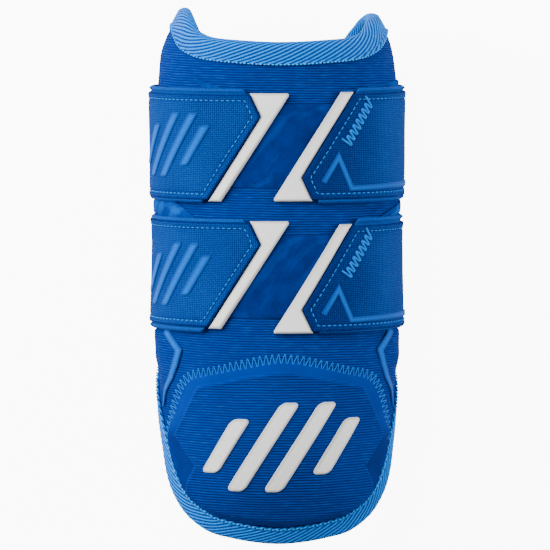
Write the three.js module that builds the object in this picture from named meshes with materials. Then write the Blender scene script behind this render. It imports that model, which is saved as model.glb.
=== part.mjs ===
// A batter's elbow guard: a padded half tube for the arm with a domed elbow cap at its lower end,
// a ribbed tape round its whole edge, and two wide elastic straps that close it behind the arm.
// It lies on its back, as it rests by itself on a table. Millimetres, X across the guard,
// Y along the arm towards the upper cuff, Z up through the front, with the table at Z = 0.
import * as THREE from "three";

// Shell: the outer surface of the padded wall
const halfWidth = 55.6;
const wideLevel = 45;
const frontRise = 44.5;
const backDrop = 44.1;
const backFullness = 0.75;
const wallOuter = 3.0;
const wallInner = 3.2;
const clearance = 0.3;

// Length: the edge of the wall, before its tape
const lowerEnd = -121;
const frontTop = 106.2;
const hornRise = 15;
const hornLean = 0.1;
const wingLow = 81;
const slotHalfWidth = 27;
const hornRound = 38;
const wingRound = 16;

// Edge tape
const tapeThickness = 0.9;
const tapeDepth = 7;
const tapeReach = 3;
const tapeSlack = 0.6;

// Elbow cap
const capApex = -35.4;
const capShoulderDrop = 8;
const capShoulderX = 37;
const capSideX = 50.5;
const capSideLow = -76;
const capSeamTurn = 2.3;
const capThin = 1.0;
const capThick = 3.4;
const capBevel = 5;
const capSeam = 8;

// Straps, from each strap's own middle level
const strapWidth = 52.5;
const strapThickness = 1.4;
const upperStrapY = 62;
const lowerStrapY = 2.4;
const tabLip = 2.2;
const tabThickness = 1.0;
const tabReach = 92;
const tabTipX = 9.3;
const tabTipLevel = 14.1;
const tabSlant = 0.59;
const tabNoseSlope = 0.456;
const strapInset = 2;
const strapLiftFrom = 112;
const strapLiftTo = 138;

// White pull tips beside the tabs
const tipBarWidth = 6.74;
const tipSlant = 0.62;
const tipThickness = 2.0;
const tipEndInset = 1.4;
const tipRound = 1.8;
const tipGap = 0.5;

// Loop panels that the straps fasten to
const pileThickness = 0.6;
const frontPanelHeight = 38;
const frontPanelReach = 50;
const sidePanelTop = 91.5;
const sidePanelLow = -15;
const sidePanelFrontX = 40;
const sidePanelReach = 96;

// Light film lines and the slanted bars of the badges
const filmThickness = 0.5;
const tabLineWidth = 2.6;
const sideLineWidth = 4;
const capBarWidth = 8.5;
const capBarPitch = 17;
const capBarLong = 40;
const capBarShort = 25;
const capBadgeY = -75;
const capBarThickness = 1.2;
const tabBarWidth = 5;
const tabBarPitch = 9.5;
const tabBarLong = 30;
const tabBarShort = 19;
const tabBadgeGirth = 54;
const barSlant = 0.63;

const colours = {
  shell: 0x0b4fa8,
  cap: 0x0a4aa3,
  lining: 0x083c8c,
  tape: 0x2a8fe6,
  elastic: 0x0f5cb8,
  tab: 0x1160b8,
  pile: 0x0a418f,
  rubber: 0xeceae6,
  film: 0x1d90f0,
};

// How the outer surface changes along the arm: place is a share of the length from the lower end,
// width a share of halfWidth and front a share of frontRise
const profile = [
  { place: -0.03, width: 0.885, front: 0.5 },
  { place: 0.05, width: 0.918, front: 0.73 },
  { place: 0.12, width: 0.96, front: 0.9 },
  { place: 0.2, width: 0.968, front: 0.99 },
  { place: 0.32, width: 0.992, front: 1.02 },
  { place: 0.41, width: 0.998, front: 1.005 },
  { place: 0.5, width: 0.985, front: 0.99 },
  { place: 0.6, width: 0.978, front: 0.99 },
  { place: 0.7, width: 0.992, front: 0.985 },
  { place: 0.8, width: 0.996, front: 0.98 },
  { place: 0.92, width: 1, front: 0.985 },
  { place: 0.98, width: 0.978, front: 0.99 },
  { place: 1.02, width: 0.925, front: 0.99 },
  { place: 1.045, width: 0.865, front: 0.99 },
  { place: 1.08, width: 0.785, front: 0.99 },
];

// The lower edge: turn is the angle round the arm from the front in degrees, rise a share of wingLow
const lowerEdge = [
  { turn: -14, rise: 0.012 },
  { turn: 0, rise: 0 },
  { turn: 14, rise: 0.012 },
  { turn: 27, rise: 0.036 },
  { turn: 38, rise: 0.062 },
  { turn: 48, rise: 0.112 },
  { turn: 57.5, rise: 0.178 },
  { turn: 65.5, rise: 0.275 },
  { turn: 71, rise: 0.375 },
  { turn: 78, rise: 0.52 },
  { turn: 90, rise: 0.7 },
  { turn: 105, rise: 0.85 },
  { turn: 125, rise: 0.965 },
  { turn: 160, rise: 1 },
];

// The upper edge: rise is a share of hornRise
const upperEdge = [
  { turn: -25, rise: 0.075 },
  { turn: 0, rise: 0 },
  { turn: 25, rise: 0.075 },
  { turn: 40, rise: 0.19 },
  { turn: 52, rise: 0.39 },
  { turn: 62, rise: 0.6 },
  { turn: 75, rise: 0.75 },
  { turn: 92, rise: 0.87 },
  { turn: 122, rise: 0.98 },
  { turn: 160, rise: 1 },
];

// The film line on each side of the guard: turn in degrees, level a share from the lower strap's
// edge down to the cap's side, width a share of sideLineWidth
const sideLine = [
  { turn: 73, level: -0.09, width: 1 },
  { turn: 67, level: 0.01, width: 1 },
  { turn: 56.3, level: 0.175, width: 1 },
  { turn: 59.5, level: 0.3, width: 1 },
  { turn: 64, level: 0.415, width: 0.95 },
  { turn: 71.5, level: 0.54, width: 0.7 },
  { turn: 76, level: 0.7, width: 0.3 },
];

// The bent film line on each right tab: x from the middle, level from the strap's middle, as shares
// of tabTipX and of half the strap's width
const tabLine = [
  { across: 1.96, level: -0.63 },
  { across: 2.67, level: -0.18 },
  { across: 3.28, level: -0.73 },
  { across: 4.95, level: -0.71 },
  { across: 5.75, level: -0.7 },
];

const radians = Math.PI / 180;
const wholeLength = frontTop - lowerEnd;

function clamp(value, low, high) {
  return Math.min(high, Math.max(low, value));
}

function ease(from, to, value) {
  const t = clamp((value - from) / (to - from), 0, 1);
  return t * t * (3 - 2 * t);
}

function mix(a, b, share) {
  return a + (b - a) * share;
}

// A smooth line through a table's rows, held level past its ends
function readTable(rows, key, column, at) {
  const last = rows.length - 1;
  const value = clamp(at, rows[0][key], rows[last][key]);
  let i = 0;
  while (i < last - 1 && rows[i + 1][key] < value) i += 1;
  const slope = (k) => {
    const before = rows[Math.max(0, k - 1)];
    const after = rows[Math.min(last, k + 1)];
    return (after[column] - before[column]) / (after[key] - before[key]);
  };
  const span = rows[i + 1][key] - rows[i][key];
  const t = (value - rows[i][key]) / span;
  const start = rows[i][column];
  const end = rows[i + 1][column];
  return (
    start * (1 + 2 * t) * (1 - t) ** 2 +
    slope(i) * span * t * (1 - t) ** 2 +
    end * t * t * (3 - 2 * t) +
    slope(i + 1) * span * t * t * (t - 1)
  );
}

// One point of the cross-section: an ellipse in front, and a fuller, flatter curve behind
function sectionPoint(turn, wide, front) {
  const side = Math.sign(turn) || 1;
  const angle = Math.abs(turn);
  if (angle <= Math.PI / 2)
    return [side * wide * Math.sin(angle), wideLevel + front * Math.cos(angle)];
  const behind = Math.min(angle, Math.PI) - Math.PI / 2;
  const inwards = Math.max(0, Math.cos(behind)) ** backFullness;
  return [side * wide * inwards, wideLevel - backDrop * Math.sin(behind)];
}

// Girth is the distance round the mid-length section from the front line
const girthSteps = 360;
const girthTable = [0];
for (let i = 1; i <= girthSteps; i += 1) {
  const before = sectionPoint(((i - 1) / girthSteps) * Math.PI, halfWidth, frontRise);
  const here = sectionPoint((i / girthSteps) * Math.PI, halfWidth, frontRise);
  girthTable.push(girthTable[i - 1] + Math.hypot(here[0] - before[0], here[1] - before[1]));
}
const fullGirth = girthTable[girthSteps];

function turnAtGirth(girth) {
  const size = clamp(Math.abs(girth), 0, fullGirth);
  let low = 0;
  let high = girthSteps;
  while (high - low > 1) {
    const middle = (low + high) >> 1;
    if (girthTable[middle] <= size) low = middle;
    else high = middle;
  }
  const share = (size - girthTable[low]) / (girthTable[high] - girthTable[low]);
  return (Math.sign(girth) || 1) * ((low + share) / girthSteps) * Math.PI;
}

function girthAtTurn(turn) {
  const step = clamp(Math.abs(turn) / Math.PI, 0, 1) * girthSteps;
  const low = Math.min(girthSteps - 1, Math.floor(step));
  return (Math.sign(turn) || 1) * mix(girthTable[low], girthTable[low + 1], step - low);
}

// A place on the front, given as a distance across, as a girth
function girthAcross(x, y) {
  return girthAtTurn(Math.asin(clamp(x / (halfWidth * shareAlong(y).width), -1, 1)));
}

function shareAlong(y) {
  const place = (y - lowerEnd) / wholeLength;
  return {
    width: readTable(profile, "place", "width", place),
    front: readTable(profile, "place", "front", place),
  };
}

// The bare outer surface. A girth past the middle of the back comes round from the other side.
function skin(girth, y) {
  let wrapped = girth;
  if (wrapped > fullGirth) wrapped -= 2 * fullGirth;
  if (wrapped < -fullGirth) wrapped += 2 * fullGirth;
  const { width, front } = shareAlong(y);
  const [x, z] = sectionPoint(turnAtGirth(wrapped), halfWidth * width, frontRise * front);
  return new THREE.Vector3(x, y, z);
}

// The surface at a place: its point, its outward normal and its two directions
const probe = 0.8;
function surfaceFrame(girth, y) {
  const round = skin(girth + probe, y).sub(skin(girth - probe, y)).divideScalar(2 * probe);
  const along = skin(girth, y + probe).sub(skin(girth, y - probe)).divideScalar(2 * probe);
  const normal = round.clone().cross(along).normalize();
  return { point: skin(girth, y), normal, round, along };
}

function raised(girth, y, height) {
  const { point, normal } = surfaceFrame(girth, y);
  return point.addScaledVector(normal, height);
}

// Edges of the wall at a girth
const slotTurn = Math.PI / 2 + Math.acos((slotHalfWidth / halfWidth) ** (1 / backFullness));
const wingGirth = girthAtTurn(slotTurn);

function cornerDrop(girth, radius) {
  const past = clamp(Math.abs(girth) - (wingGirth - radius), 0, radius);
  return radius - Math.sqrt(radius * radius - past * past);
}

function lowerEdgeAt(girth) {
  const turn = Math.abs(turnAtGirth(girth)) / radians;
  const level = lowerEnd + wingLow * readTable(lowerEdge, "turn", "rise", turn);
  return level + cornerDrop(girth, wingRound);
}

function upperEdgeAt(girth) {
  const turn = turnAtGirth(girth);
  const rise = hornRise * readTable(upperEdge, "turn", "rise", Math.abs(turn) / radians);
  const level = frontTop + rise * (1 - hornLean * Math.sin(turn));
  return level - cornerDrop(girth, hornRound);
}

// Every sheet has its columns at the same marks round the arm, so that layers lie face to face
const markStep = fullGirth / 20;

// Girths across a sheet at each of its levels: marks where it is straight, even steps at slanting ends
function sheetColumns(lefts, rights) {
  const first = Math.ceil((Math.max(...lefts) + 1) / markStep) * markStep;
  const last = Math.floor((Math.min(...rights) - 1) / markStep) * markStep;
  const fill = (from, to, steps) => range(steps).map((share) => mix(from, to, share));
  const stepsOver = (span) => Math.max(1, Math.ceil(span / markStep));
  if (first > last) {
    const widest = Math.max(...lefts.map((left, j) => rights[j] - left));
    return lefts.map((left, j) => fill(left, rights[j], stepsOver(widest)));
  }
  const leftSteps = stepsOver(first - Math.min(...lefts));
  const rightSteps = stepsOver(Math.max(...rights) - last);
  const straight = fill(first, last, Math.round((last - first) / markStep));
  return lefts.map((left, j) => [
    ...fill(left, first, leftSteps).slice(0, -1),
    ...straight,
    ...fill(last, rights[j], rightSteps).slice(1),
  ]);
}

function range(count) {
  return Array.from({ length: count + 1 }, (_, i) => i / count);
}

// A closed body from four-cornered faces over shared points, each split along its shorter diagonal
// and all turned to face outwards
function bodyFrom(points, quads) {
  const index = quads.flatMap(([a, b, c, d]) =>
    points[a].distanceTo(points[c]) <= points[b].distanceTo(points[d])
      ? [a, b, c, a, c, d]
      : [b, c, d, b, d, a],
  );
  let volume = 0;
  for (let i = 0; i < index.length; i += 3) {
    const [a, b, c] = [points[index[i]], points[index[i + 1]], points[index[i + 2]]];
    volume += a.dot(b.clone().cross(c));
  }
  if (volume < 0)
    for (let i = 0; i < index.length; i += 3)
      [index[i + 1], index[i + 2]] = [index[i + 2], index[i + 1]];
  const geometry = new THREE.BufferGeometry().setFromPoints(points);
  geometry.setIndex(index);
  geometry.computeVertexNormals();
  return geometry;
}

// A sheet with a thickness: rows of places, each place giving its upper and lower point
function sheetBody(columns, rows, upperPoint, lowerPoint) {
  const points = [];
  for (const pointAt of [upperPoint, lowerPoint])
    for (let j = 0; j <= rows; j += 1)
      for (let i = 0; i <= columns; i += 1) points.push(pointAt(i, j));
  const upper = (i, j) => j * (columns + 1) + i;
  const lower = (i, j) => (rows + 1) * (columns + 1) + upper(i, j);
  const quads = [];
  for (let j = 0; j < rows; j += 1)
    for (let i = 0; i < columns; i += 1) {
      quads.push([upper(i, j), upper(i + 1, j), upper(i + 1, j + 1), upper(i, j + 1)]);
      quads.push([lower(i, j), lower(i, j + 1), lower(i + 1, j + 1), lower(i + 1, j)]);
    }
  for (let i = 0; i < columns; i += 1) {
    quads.push([upper(i, 0), lower(i, 0), lower(i + 1, 0), upper(i + 1, 0)]);
    quads.push([upper(i + 1, rows), lower(i + 1, rows), lower(i, rows), upper(i, rows)]);
  }
  for (let j = 0; j < rows; j += 1) {
    quads.push([upper(columns, j), lower(columns, j), lower(columns, j + 1), upper(columns, j + 1)]);
    quads.push([upper(0, j + 1), lower(0, j + 1), lower(0, j), upper(0, j)]);
  }
  return bodyFrom(points, quads);
}

// A ring of equal cross-sections, closed on itself
function ringBody(sections) {
  const points = sections.flat();
  const size = sections[0].length;
  const at = (i, k) => (i % sections.length) * size + (k % size);
  const quads = [];
  sections.forEach((_, i) => {
    for (let k = 0; k < size; k += 1)
      quads.push([at(i, k), at(i + 1, k), at(i + 1, k + 1), at(i, k + 1)]);
  });
  return bodyFrom(points, quads);
}

function piece(name, geometry, colour, roughness) {
  const material = new THREE.MeshStandardMaterial({ color: colour, roughness, metalness: 0 });
  const mesh = new THREE.Mesh(geometry, material);
  mesh.name = name;
  return mesh;
}

// A layer of the padded wall, between two depths under the outer surface. Both layers use one grid.
const cornerMarks = [2.2, 0.5, 0].map((inset) => wingGirth - inset);
const innerMarks = range(Math.floor((wingGirth - 4) / markStep)).map(
  (share) => share * Math.floor((wingGirth - 4) / markStep) * markStep,
);
const halfMarks = [...innerMarks, ...cornerMarks];
const wallMarks = [...halfMarks.slice(1).reverse().map((mark) => -mark), ...halfMarks];
const wallColumns = wallMarks.length - 1;
const wallRows = 11;
function wallLayer(name, top, bottom, colour, roughness) {
  const placeAt = (i, j) => {
    const girth = wallMarks[i];
    const share = j / wallRows;
    const spread = mix(share, (1 - Math.cos(Math.PI * share)) / 2, 0.6);
    return [girth, mix(lowerEdgeAt(girth), upperEdgeAt(girth), spread)];
  };
  const pointAt = (height) => (i, j) => raised(...placeAt(i, j), height);
  const body = sheetBody(wallColumns, wallRows, pointAt(top), pointAt(bottom));
  return piece(name, body, colour, roughness);
}

// Places round the wall's edge, in order: up the right wing, back over the top, down the left wing
function edgeLoop() {
  const up = 8;
  const places = [];
  for (const girth of wallMarks.slice(0, -1)) places.push([girth, lowerEdgeAt(girth)]);
  const low = lowerEdgeAt(wingGirth);
  const high = upperEdgeAt(wingGirth);
  for (let j = 0; j < up; j += 1) places.push([wingGirth, mix(low, high, j / up)]);
  for (const girth of wallMarks.slice(1).reverse()) places.push([girth, upperEdgeAt(girth)]);
  for (let j = up; j > 0; j -= 1) places.push([-wingGirth, mix(low, high, j / up)]);
  return places;
}

// The tape: a folded channel that holds both layers of the wall along their whole edge
function edgeTape() {
  const wall = wallOuter + clearance + wallInner;
  const topIn = tapeSlack;
  const topOut = tapeSlack + tapeThickness;
  const lowIn = -wall - tapeSlack;
  const lowOut = lowIn - tapeThickness;
  const loop = edgeLoop();
  const sections = loop.map(([girth, y], i) => {
    const before = skin(...loop[(i + loop.length - 1) % loop.length]);
    const after = skin(...loop[(i + 1) % loop.length]);
    const here = surfaceFrame(girth, y);
    const run = after.sub(before).normalize();
    const out = run.clone().cross(here.normal).normalize();
    const inset = (distance) => {
      const steps = 2;
      let place = [girth, y];
      for (let k = 0; k < steps; k += 1) {
        const frame = surfaceFrame(...place);
        place = [
          place[0] - ((distance / steps) * out.dot(frame.round)) / frame.round.lengthSq(),
          place[1] - ((distance / steps) * out.dot(frame.along)) / frame.along.lengthSq(),
        ];
      }
      return surfaceFrame(...place);
    };
    const deep = inset(tapeDepth);
    const half = inset(tapeDepth / 2);
    const at = (frame, height, reach) =>
      frame.point.clone().addScaledVector(frame.normal, height).addScaledVector(out, reach);
    return [
      at(deep, topIn, 0),
      at(half, topIn, 0),
      at(here, topIn, tapeSlack),
      at(here, lowIn, tapeSlack),
      at(deep, lowIn, 0),
      at(deep, lowOut, 0),
      at(here, lowOut, 0),
      at(here, mix(lowOut, topOut, 0.15), tapeReach * 0.72),
      at(here, mix(lowOut, topOut, 0.5), tapeReach),
      at(here, mix(lowOut, topOut, 0.85), tapeReach * 0.72),
      at(here, topOut, 0),
      at(half, topOut, 0),
      at(deep, topOut, 0),
    ];
  });
  return piece("edge_tape", ringBody(sections), colours.tape, 0.7);
}

// The seam that bounds the elbow cap, as a height along the arm for a distance across
function capSeamAt(x) {
  const across = Math.abs(x);
  const shoulder = capApex - capShoulderDrop * ease(0, capShoulderX * 1.15, across);
  const side = clamp((across - capShoulderX) / (capSideX - capShoulderX), 0, 1);
  return mix(shoulder, capSideLow, side ** capSeamTurn);
}

// The elbow cap: thin along its seam, and a thick bevelled plate inside
function elbowCap() {
  const sideGirth = girthAcross(capSideX, capSideLow);
  const bevelGirth = girthAcross(capSideX - capBevel, capSideLow);
  const inner = halfMarks.filter((mark) => mark < bevelGirth - 1);
  const half = [...inner, bevelGirth, mix(bevelGirth, sideGirth, 0.5), sideGirth];
  const marks = [...half.slice(1).reverse().map((mark) => -mark), ...half];
  const lowerRows = 6;
  const placeAt = (i, j) => {
    const girth = marks[i];
    const x = skin(girth, capSideLow).x;
    const lean = lowerLean(girth);
    const low = lowerEdgeAt(girth) + (tapeDepth + 0.9 + 1.2 * lean) * lean;
    const high = Math.max(capSeamAt(x), low + 2);
    const seam = Math.min(capSeam, 0.3 * (high - low));
    const bevel = Math.min(capSeam + capBevel, 0.5 * (high - low));
    if (j > lowerRows) return [girth, high - [bevel / 2 + seam / 2, seam, 0][j - lowerRows - 1]];
    return [girth, mix(low, high - bevel, j / lowerRows)];
  };
  const upperPoint = (i, j) => {
    const [girth, y] = placeAt(i, j);
    return raised(girth, y, capHeight(girth, y));
  };
  const lowerPoint = (i, j) => raised(...placeAt(i, j), clearance);
  const body = sheetBody(marks.length - 1, lowerRows + 3, upperPoint, lowerPoint);
  return piece("elbow_cap", body, colours.cap, 0.8);
}

// How much longer a step up the arm is than a step straight in from the slanting lower edge
function lowerLean(girth) {
  const step = 2;
  const rise = (lowerEdgeAt(girth + step) - lowerEdgeAt(girth - step)) / (2 * step);
  return Math.hypot(1, rise);
}

function capHeight(girth, y) {
  const x = Math.abs(skin(girth, capSideLow).x);
  const inside = Math.min(capSeamAt(x) - y - capSeam, capSideX - capBevel - x);
  return clearance + mix(capThin, capThick, ease(0, capBevel, inside));
}

// A sheet on the guard between two girths at each level
function levelSheet(name, levels, leftAt, rightAt, heightAt, thickness, colour, roughness) {
  const columns = sheetColumns(levels.map(leftAt), levels.map(rightAt));
  const pointAt = (extra) => (i, j) => {
    const girth = columns[j][i];
    return raised(girth, levels[j], heightAt(girth, levels[j]) + extra);
  };
  const body = sheetBody(columns[0].length - 1, levels.length - 1, pointAt(thickness), pointAt(0));
  return piece(name, body, colour, roughness);
}

// The height of a strap's inner face: over the loop panels in front, over the tape behind
const overPanels = clearance + pileThickness + 1.35 * clearance;
const overTape = tapeSlack + tapeThickness + 2.4 * clearance;
function strapHeight(girth) {
  const turn = Math.abs(turnAtGirth(girth)) / radians;
  return mix(overPanels, overTape, ease(strapLiftFrom, strapLiftTo, turn));
}

// A strap: it runs from one front end round the back to the other, flat where it lies on the table
function strap(name, middle) {
  const half = strapWidth / 2;
  const levels = [-half, -half / 3, tabTipLevel, half];
  const endAt = (level) => girthAcross(tabFrontX(level), middle + level) - strapInset;
  const columns = sheetColumns(
    levels.map((level) => -endAt(-level) - 2 * fullGirth),
    levels.map(endAt),
  );
  const pointAt = (extra, floor) => (i, j) => {
    const girth = columns[j][i];
    const wrapped = girth < -fullGirth ? girth + 2 * fullGirth : girth;
    const point = raised(wrapped, middle + levels[j], strapHeight(wrapped) + extra);
    point.z = Math.max(point.z, floor);
    return point;
  };
  const body = sheetBody(
    columns[0].length - 1,
    levels.length - 1,
    pointAt(strapThickness, 0),
    pointAt(0, strapThickness),
  );
  return piece(name, body, colours.elastic, 0.85);
}

// The pointed front end of a left tab, across the guard at a level of its strap
function tabFrontX(level) {
  if (level > tabTipLevel) return -tabTipX - (level - tabTipLevel) * tabNoseSlope;
  return -tabTipX - (tabTipLevel - level) * tabSlant;
}

const tabHeight = overPanels + strapThickness + clearance;

// The stitched face of a strap's end. The right one is the left one turned half round.
function tab(name, middle, side) {
  const half = strapWidth / 2 - tabLip;
  const marks = [-half, -half / 3, tabTipLevel / 2, tabTipLevel, half];
  const levels = side < 0 ? marks : marks.map((mark) => -mark).reverse();
  const frontAt = (y) => {
    const level = (y - middle) * -side;
    return -side * girthAcross(tabFrontX(level), middle + level);
  };
  const farAt = () => side * tabReach;
  return levelSheet(
    name,
    levels.map((level) => middle + level),
    side < 0 ? farAt : frontAt,
    side < 0 ? frontAt : farAt,
    () => tabHeight,
    tabThickness,
    colours.tab,
    0.85,
  );
}

// A white rubber pull tip: a slanted bar with a wide head that fills the corner beside the tab's point
function pullTip(name, middle, side) {
  const half = strapWidth / 2 - tipEndInset;
  const rounds = [0, 0.3, 1].map((share) => half - tipRound * share);
  const marks = [-half, -half / 2, 0, tabTipLevel, rounds[2], rounds[1], rounds[0]];
  const levels = side < 0 ? marks : marks.map((mark) => -mark).reverse();
  const outerX = (level) => {
    const past = clamp(level - (half - tipRound), 0, tipRound);
    const round = tipRound - Math.sqrt(tipRound ** 2 - past ** 2);
    return -tabTipX + (level - tabTipLevel) * tipSlant + tipBarWidth - round;
  };
  const edgeAt = (xAt) => (y) => {
    const level = (y - middle) * -side;
    return -side * girthAcross(xAt(level), middle + level);
  };
  const innerEdge = edgeAt((level) => tabFrontX(level) + tipGap);
  const outerEdge = edgeAt(outerX);
  return levelSheet(
    name,
    levels.map((level) => middle + level),
    side < 0 ? innerEdge : outerEdge,
    side < 0 ? outerEdge : innerEdge,
    () => overPanels,
    tipThickness,
    colours.rubber,
    0.55,
  );
}

// The brushed panel between a strap's two ends
function frontPanel(name, middle) {
  const half = frontPanelHeight / 2;
  return levelSheet(
    name,
    range(4).map((share) => middle + mix(-half, half, share)),
    () => -frontPanelReach,
    () => frontPanelReach,
    () => clearance,
    pileThickness,
    colours.pile,
    1,
  );
}

// The brushed panel under both straps at one side, with a slanted top that shows above the straps
function sidePanel(name, side) {
  const levels = range(10).map((share) => mix(sidePanelLow, sidePanelTop, share));
  const frontAt = (y) => {
    const shoulder = sidePanelTop - strapWidth / 5;
    const back = Math.max(0, y - shoulder) * 1.4;
    return side * Math.max(girthAcross(sidePanelFrontX, y) + back, frontPanelReach + 1);
  };
  const farAt = () => side * sidePanelReach;
  return levelSheet(
    name,
    levels,
    side < 0 ? farAt : frontAt,
    side < 0 ? frontAt : farAt,
    () => clearance,
    pileThickness,
    colours.pile,
    1,
  );
}

// A narrow film line along a path of girths and levels, mitred at its bends
function filmLine(name, path, widthAt, heightAt, thickness) {
  const steps = 3;
  const places = path.flatMap((place, i) =>
    i === path.length - 1
      ? [place]
      : range(steps)
          .slice(0, steps)
          .map((share) => [mix(place[0], path[i + 1][0], share), mix(place[1], path[i + 1][1], share)]),
  );
  const normalAt = (i) => {
    const direction = (from, to) => {
      const run = [to[0] - from[0], to[1] - from[1]];
      const size = Math.hypot(...run);
      return [run[0] / size, run[1] / size];
    };
    const before = i > 0 ? direction(places[i - 1], places[i]) : direction(places[0], places[1]);
    const after = i < places.length - 1 ? direction(places[i], places[i + 1]) : before;
    const sum = [before[0] + after[0], before[1] + after[1]];
    const size = Math.hypot(...sum);
    const across = [-sum[1] / size, sum[0] / size];
    const stretch = 1 / Math.max(0.5, across[0] * -after[1] + across[1] * after[0]);
    return across.map((value) => value * stretch);
  };
  const pointAt = (extra) => (i, j) => {
    const across = normalAt(j);
    const offset = (i - 0.5) * widthAt(j / (places.length - 1));
    const girth = places[j][0] + across[0] * offset;
    const y = places[j][1] + across[1] * offset;
    return raised(girth, y, heightAt(girth, y) + extra);
  };
  const body = sheetBody(1, places.length - 1, pointAt(thickness), pointAt(0));
  return piece(name, body, colours.film, 0.5);
}

function tabFilmLine(name, middle) {
  const half = strapWidth / 2;
  const path = tabLine.map(({ across, level }) => {
    const y = middle + level * half;
    return [girthAcross(tabTipX * across, y) * (across > 5 ? 1.12 : 1), y];
  });
  const height = tabHeight + tabThickness + clearance;
  return filmLine(name, path, () => tabLineWidth, () => height, filmThickness);
}

function sideFilmLine(name, side) {
  const from = lowerStrapY - strapWidth / 2;
  const path = sideLine.map(({ turn, level }) => [
    side * girthAtTurn(turn * radians),
    mix(from, capSideLow, level),
  ]);
  const widthAt = (share) => {
    const last = sideLine.length - 1;
    const i = Math.min(last - 1, Math.floor(share * last));
    return sideLineWidth * mix(sideLine[i].width, sideLine[i + 1].width, share * last - i);
  };
  return filmLine(name, path, widthAt, () => clearance, filmThickness);
}

// A badge of slanted bars, longest in the middle
function badgeBars(prefix, centre, sizes, heightAt, thickness, colour) {
  const lengths = [sizes.short, sizes.long, sizes.long, sizes.short];
  return lengths.map((length, k) => {
    const shift = (k - (lengths.length - 1) / 2) * sizes.pitch;
    const round = sizes.width * 0.3;
    const shares = [0, 0.3 * round, round, length / 3, length / 2];
    const rising = shares.map((share) => share - length / 2);
    const marks = [...rising, ...rising.slice(0, -1).reverse().map((mark) => -mark)];
    const halfAt = (level) => {
      const past = clamp(Math.abs(level) - (length / 2 - round), 0, round);
      return sizes.width / 2 - (round - Math.sqrt(round ** 2 - past ** 2));
    };
    const middleAt = (y) => centre[0] + shift + (y - centre[1]) * barSlant;
    return levelSheet(
      `${prefix}_${k + 1}`,
      marks.map((mark) => centre[1] + mark),
      (y) => middleAt(y) - halfAt(y - centre[1]),
      (y) => middleAt(y) + halfAt(y - centre[1]),
      heightAt,
      thickness,
      colour,
      0.5,
    );
  });
}

function buildGuard() {
  const guard = new THREE.Group();
  const liningTop = -wallOuter - clearance;
  guard.add(
    wallLayer("shell", 0, -wallOuter, colours.shell, 0.8),
    wallLayer("lining", liningTop, liningTop - wallInner, colours.lining, 0.9),
    edgeTape(),
    elbowCap(),
    sidePanel("left_loop_panel", -1),
    sidePanel("right_loop_panel", 1),
    sideFilmLine("left_side_line", -1),
    sideFilmLine("right_side_line", 1),
  );
  const capBars = { width: capBarWidth, pitch: capBarPitch, long: capBarLong, short: capBarShort };
  const overCap = (girth, y) => capHeight(girth, y) + clearance;
  guard.add(...badgeBars("cap_bar", [0, capBadgeY], capBars, overCap, capBarThickness, colours.rubber));
  const tabBars = { width: tabBarWidth, pitch: tabBarPitch, long: tabBarLong, short: tabBarShort };
  const overTab = () => tabHeight + tabThickness + clearance;
  const light = colours.film;
  for (const [word, middle] of [
    ["upper", upperStrapY],
    ["lower", lowerStrapY],
  ]) {
    guard.add(
      frontPanel(`${word}_front_panel`, middle),
      strap(`${word}_strap`, middle),
      tab(`${word}_left_tab`, middle, -1),
      tab(`${word}_right_tab`, middle, 1),
      pullTip(`${word}_left_tip`, middle, -1),
      pullTip(`${word}_right_tip`, middle, 1),
      tabFilmLine(`${word}_tab_line`, middle),
      ...badgeBars(`${word}_tab_bar`, [-tabBadgeGirth, middle], tabBars, overTab, filmThickness, light),
    );
  }
  return guard;
}

// The origin goes under the middle of the whole guard, on the table
const guard = buildGuard();
const extent = new THREE.Box3().setFromObject(guard);
const centre = extent.getCenter(new THREE.Vector3());
guard.position.set(-centre.x, -centre.y, -extent.min.z);

export default guard;
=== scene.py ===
"""The looks of the elbow guard: knit, tape, elastic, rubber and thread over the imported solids.

Sizes are in millimetres until a mesh is made, when they become metres in the row's frame.
"""

import math

import bpy
import numpy as np
from mathutils import Matrix, Vector


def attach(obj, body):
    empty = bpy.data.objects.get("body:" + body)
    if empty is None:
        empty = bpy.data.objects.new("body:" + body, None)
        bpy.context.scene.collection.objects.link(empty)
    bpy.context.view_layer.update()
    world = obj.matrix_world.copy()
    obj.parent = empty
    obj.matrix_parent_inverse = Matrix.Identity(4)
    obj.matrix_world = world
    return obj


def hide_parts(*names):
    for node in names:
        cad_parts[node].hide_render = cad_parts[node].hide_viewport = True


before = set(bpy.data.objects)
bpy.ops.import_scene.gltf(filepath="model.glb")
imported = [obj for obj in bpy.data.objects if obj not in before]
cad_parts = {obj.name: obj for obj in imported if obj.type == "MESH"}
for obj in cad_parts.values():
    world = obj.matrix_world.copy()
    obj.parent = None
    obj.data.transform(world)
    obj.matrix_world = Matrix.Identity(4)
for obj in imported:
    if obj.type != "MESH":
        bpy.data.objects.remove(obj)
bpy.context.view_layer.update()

MM = 0.001
QUARTER = math.pi / 2

# The wall's outer surface, with the same values as the solids
HALF_WIDTH = 55.6
WIDE_LEVEL = 45.0
FRONT_RISE = 44.5
BACK_DROP = 44.1
BACK_FULLNESS = 0.75
WALL_OUTER = 3.0
WALL_INNER = 3.2
CLEARANCE = 0.3
LOWER_END = -121.0
FRONT_TOP = 106.2
HORN_RISE = 15.0
HORN_LEAN = 0.1
WING_LOW = 81.0
WING_ROUND = 16.0
SLOT_HALF_WIDTH = 27.0

# Softer than the solids: the upper back corners fall off round, and the cuff is thin
LEFT_HORN_REACH = 58.0
RIGHT_HORN_REACH = 47.0
HORN_DROP = 38.0
CUFF_FROM = 86.0
CUFF_TO = 100.0
CUFF_THIN = 0.34
LINING_THIN = 0.72
SWELL_BETWEEN = 1.7
SWELL_BELOW = 1.6

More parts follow.
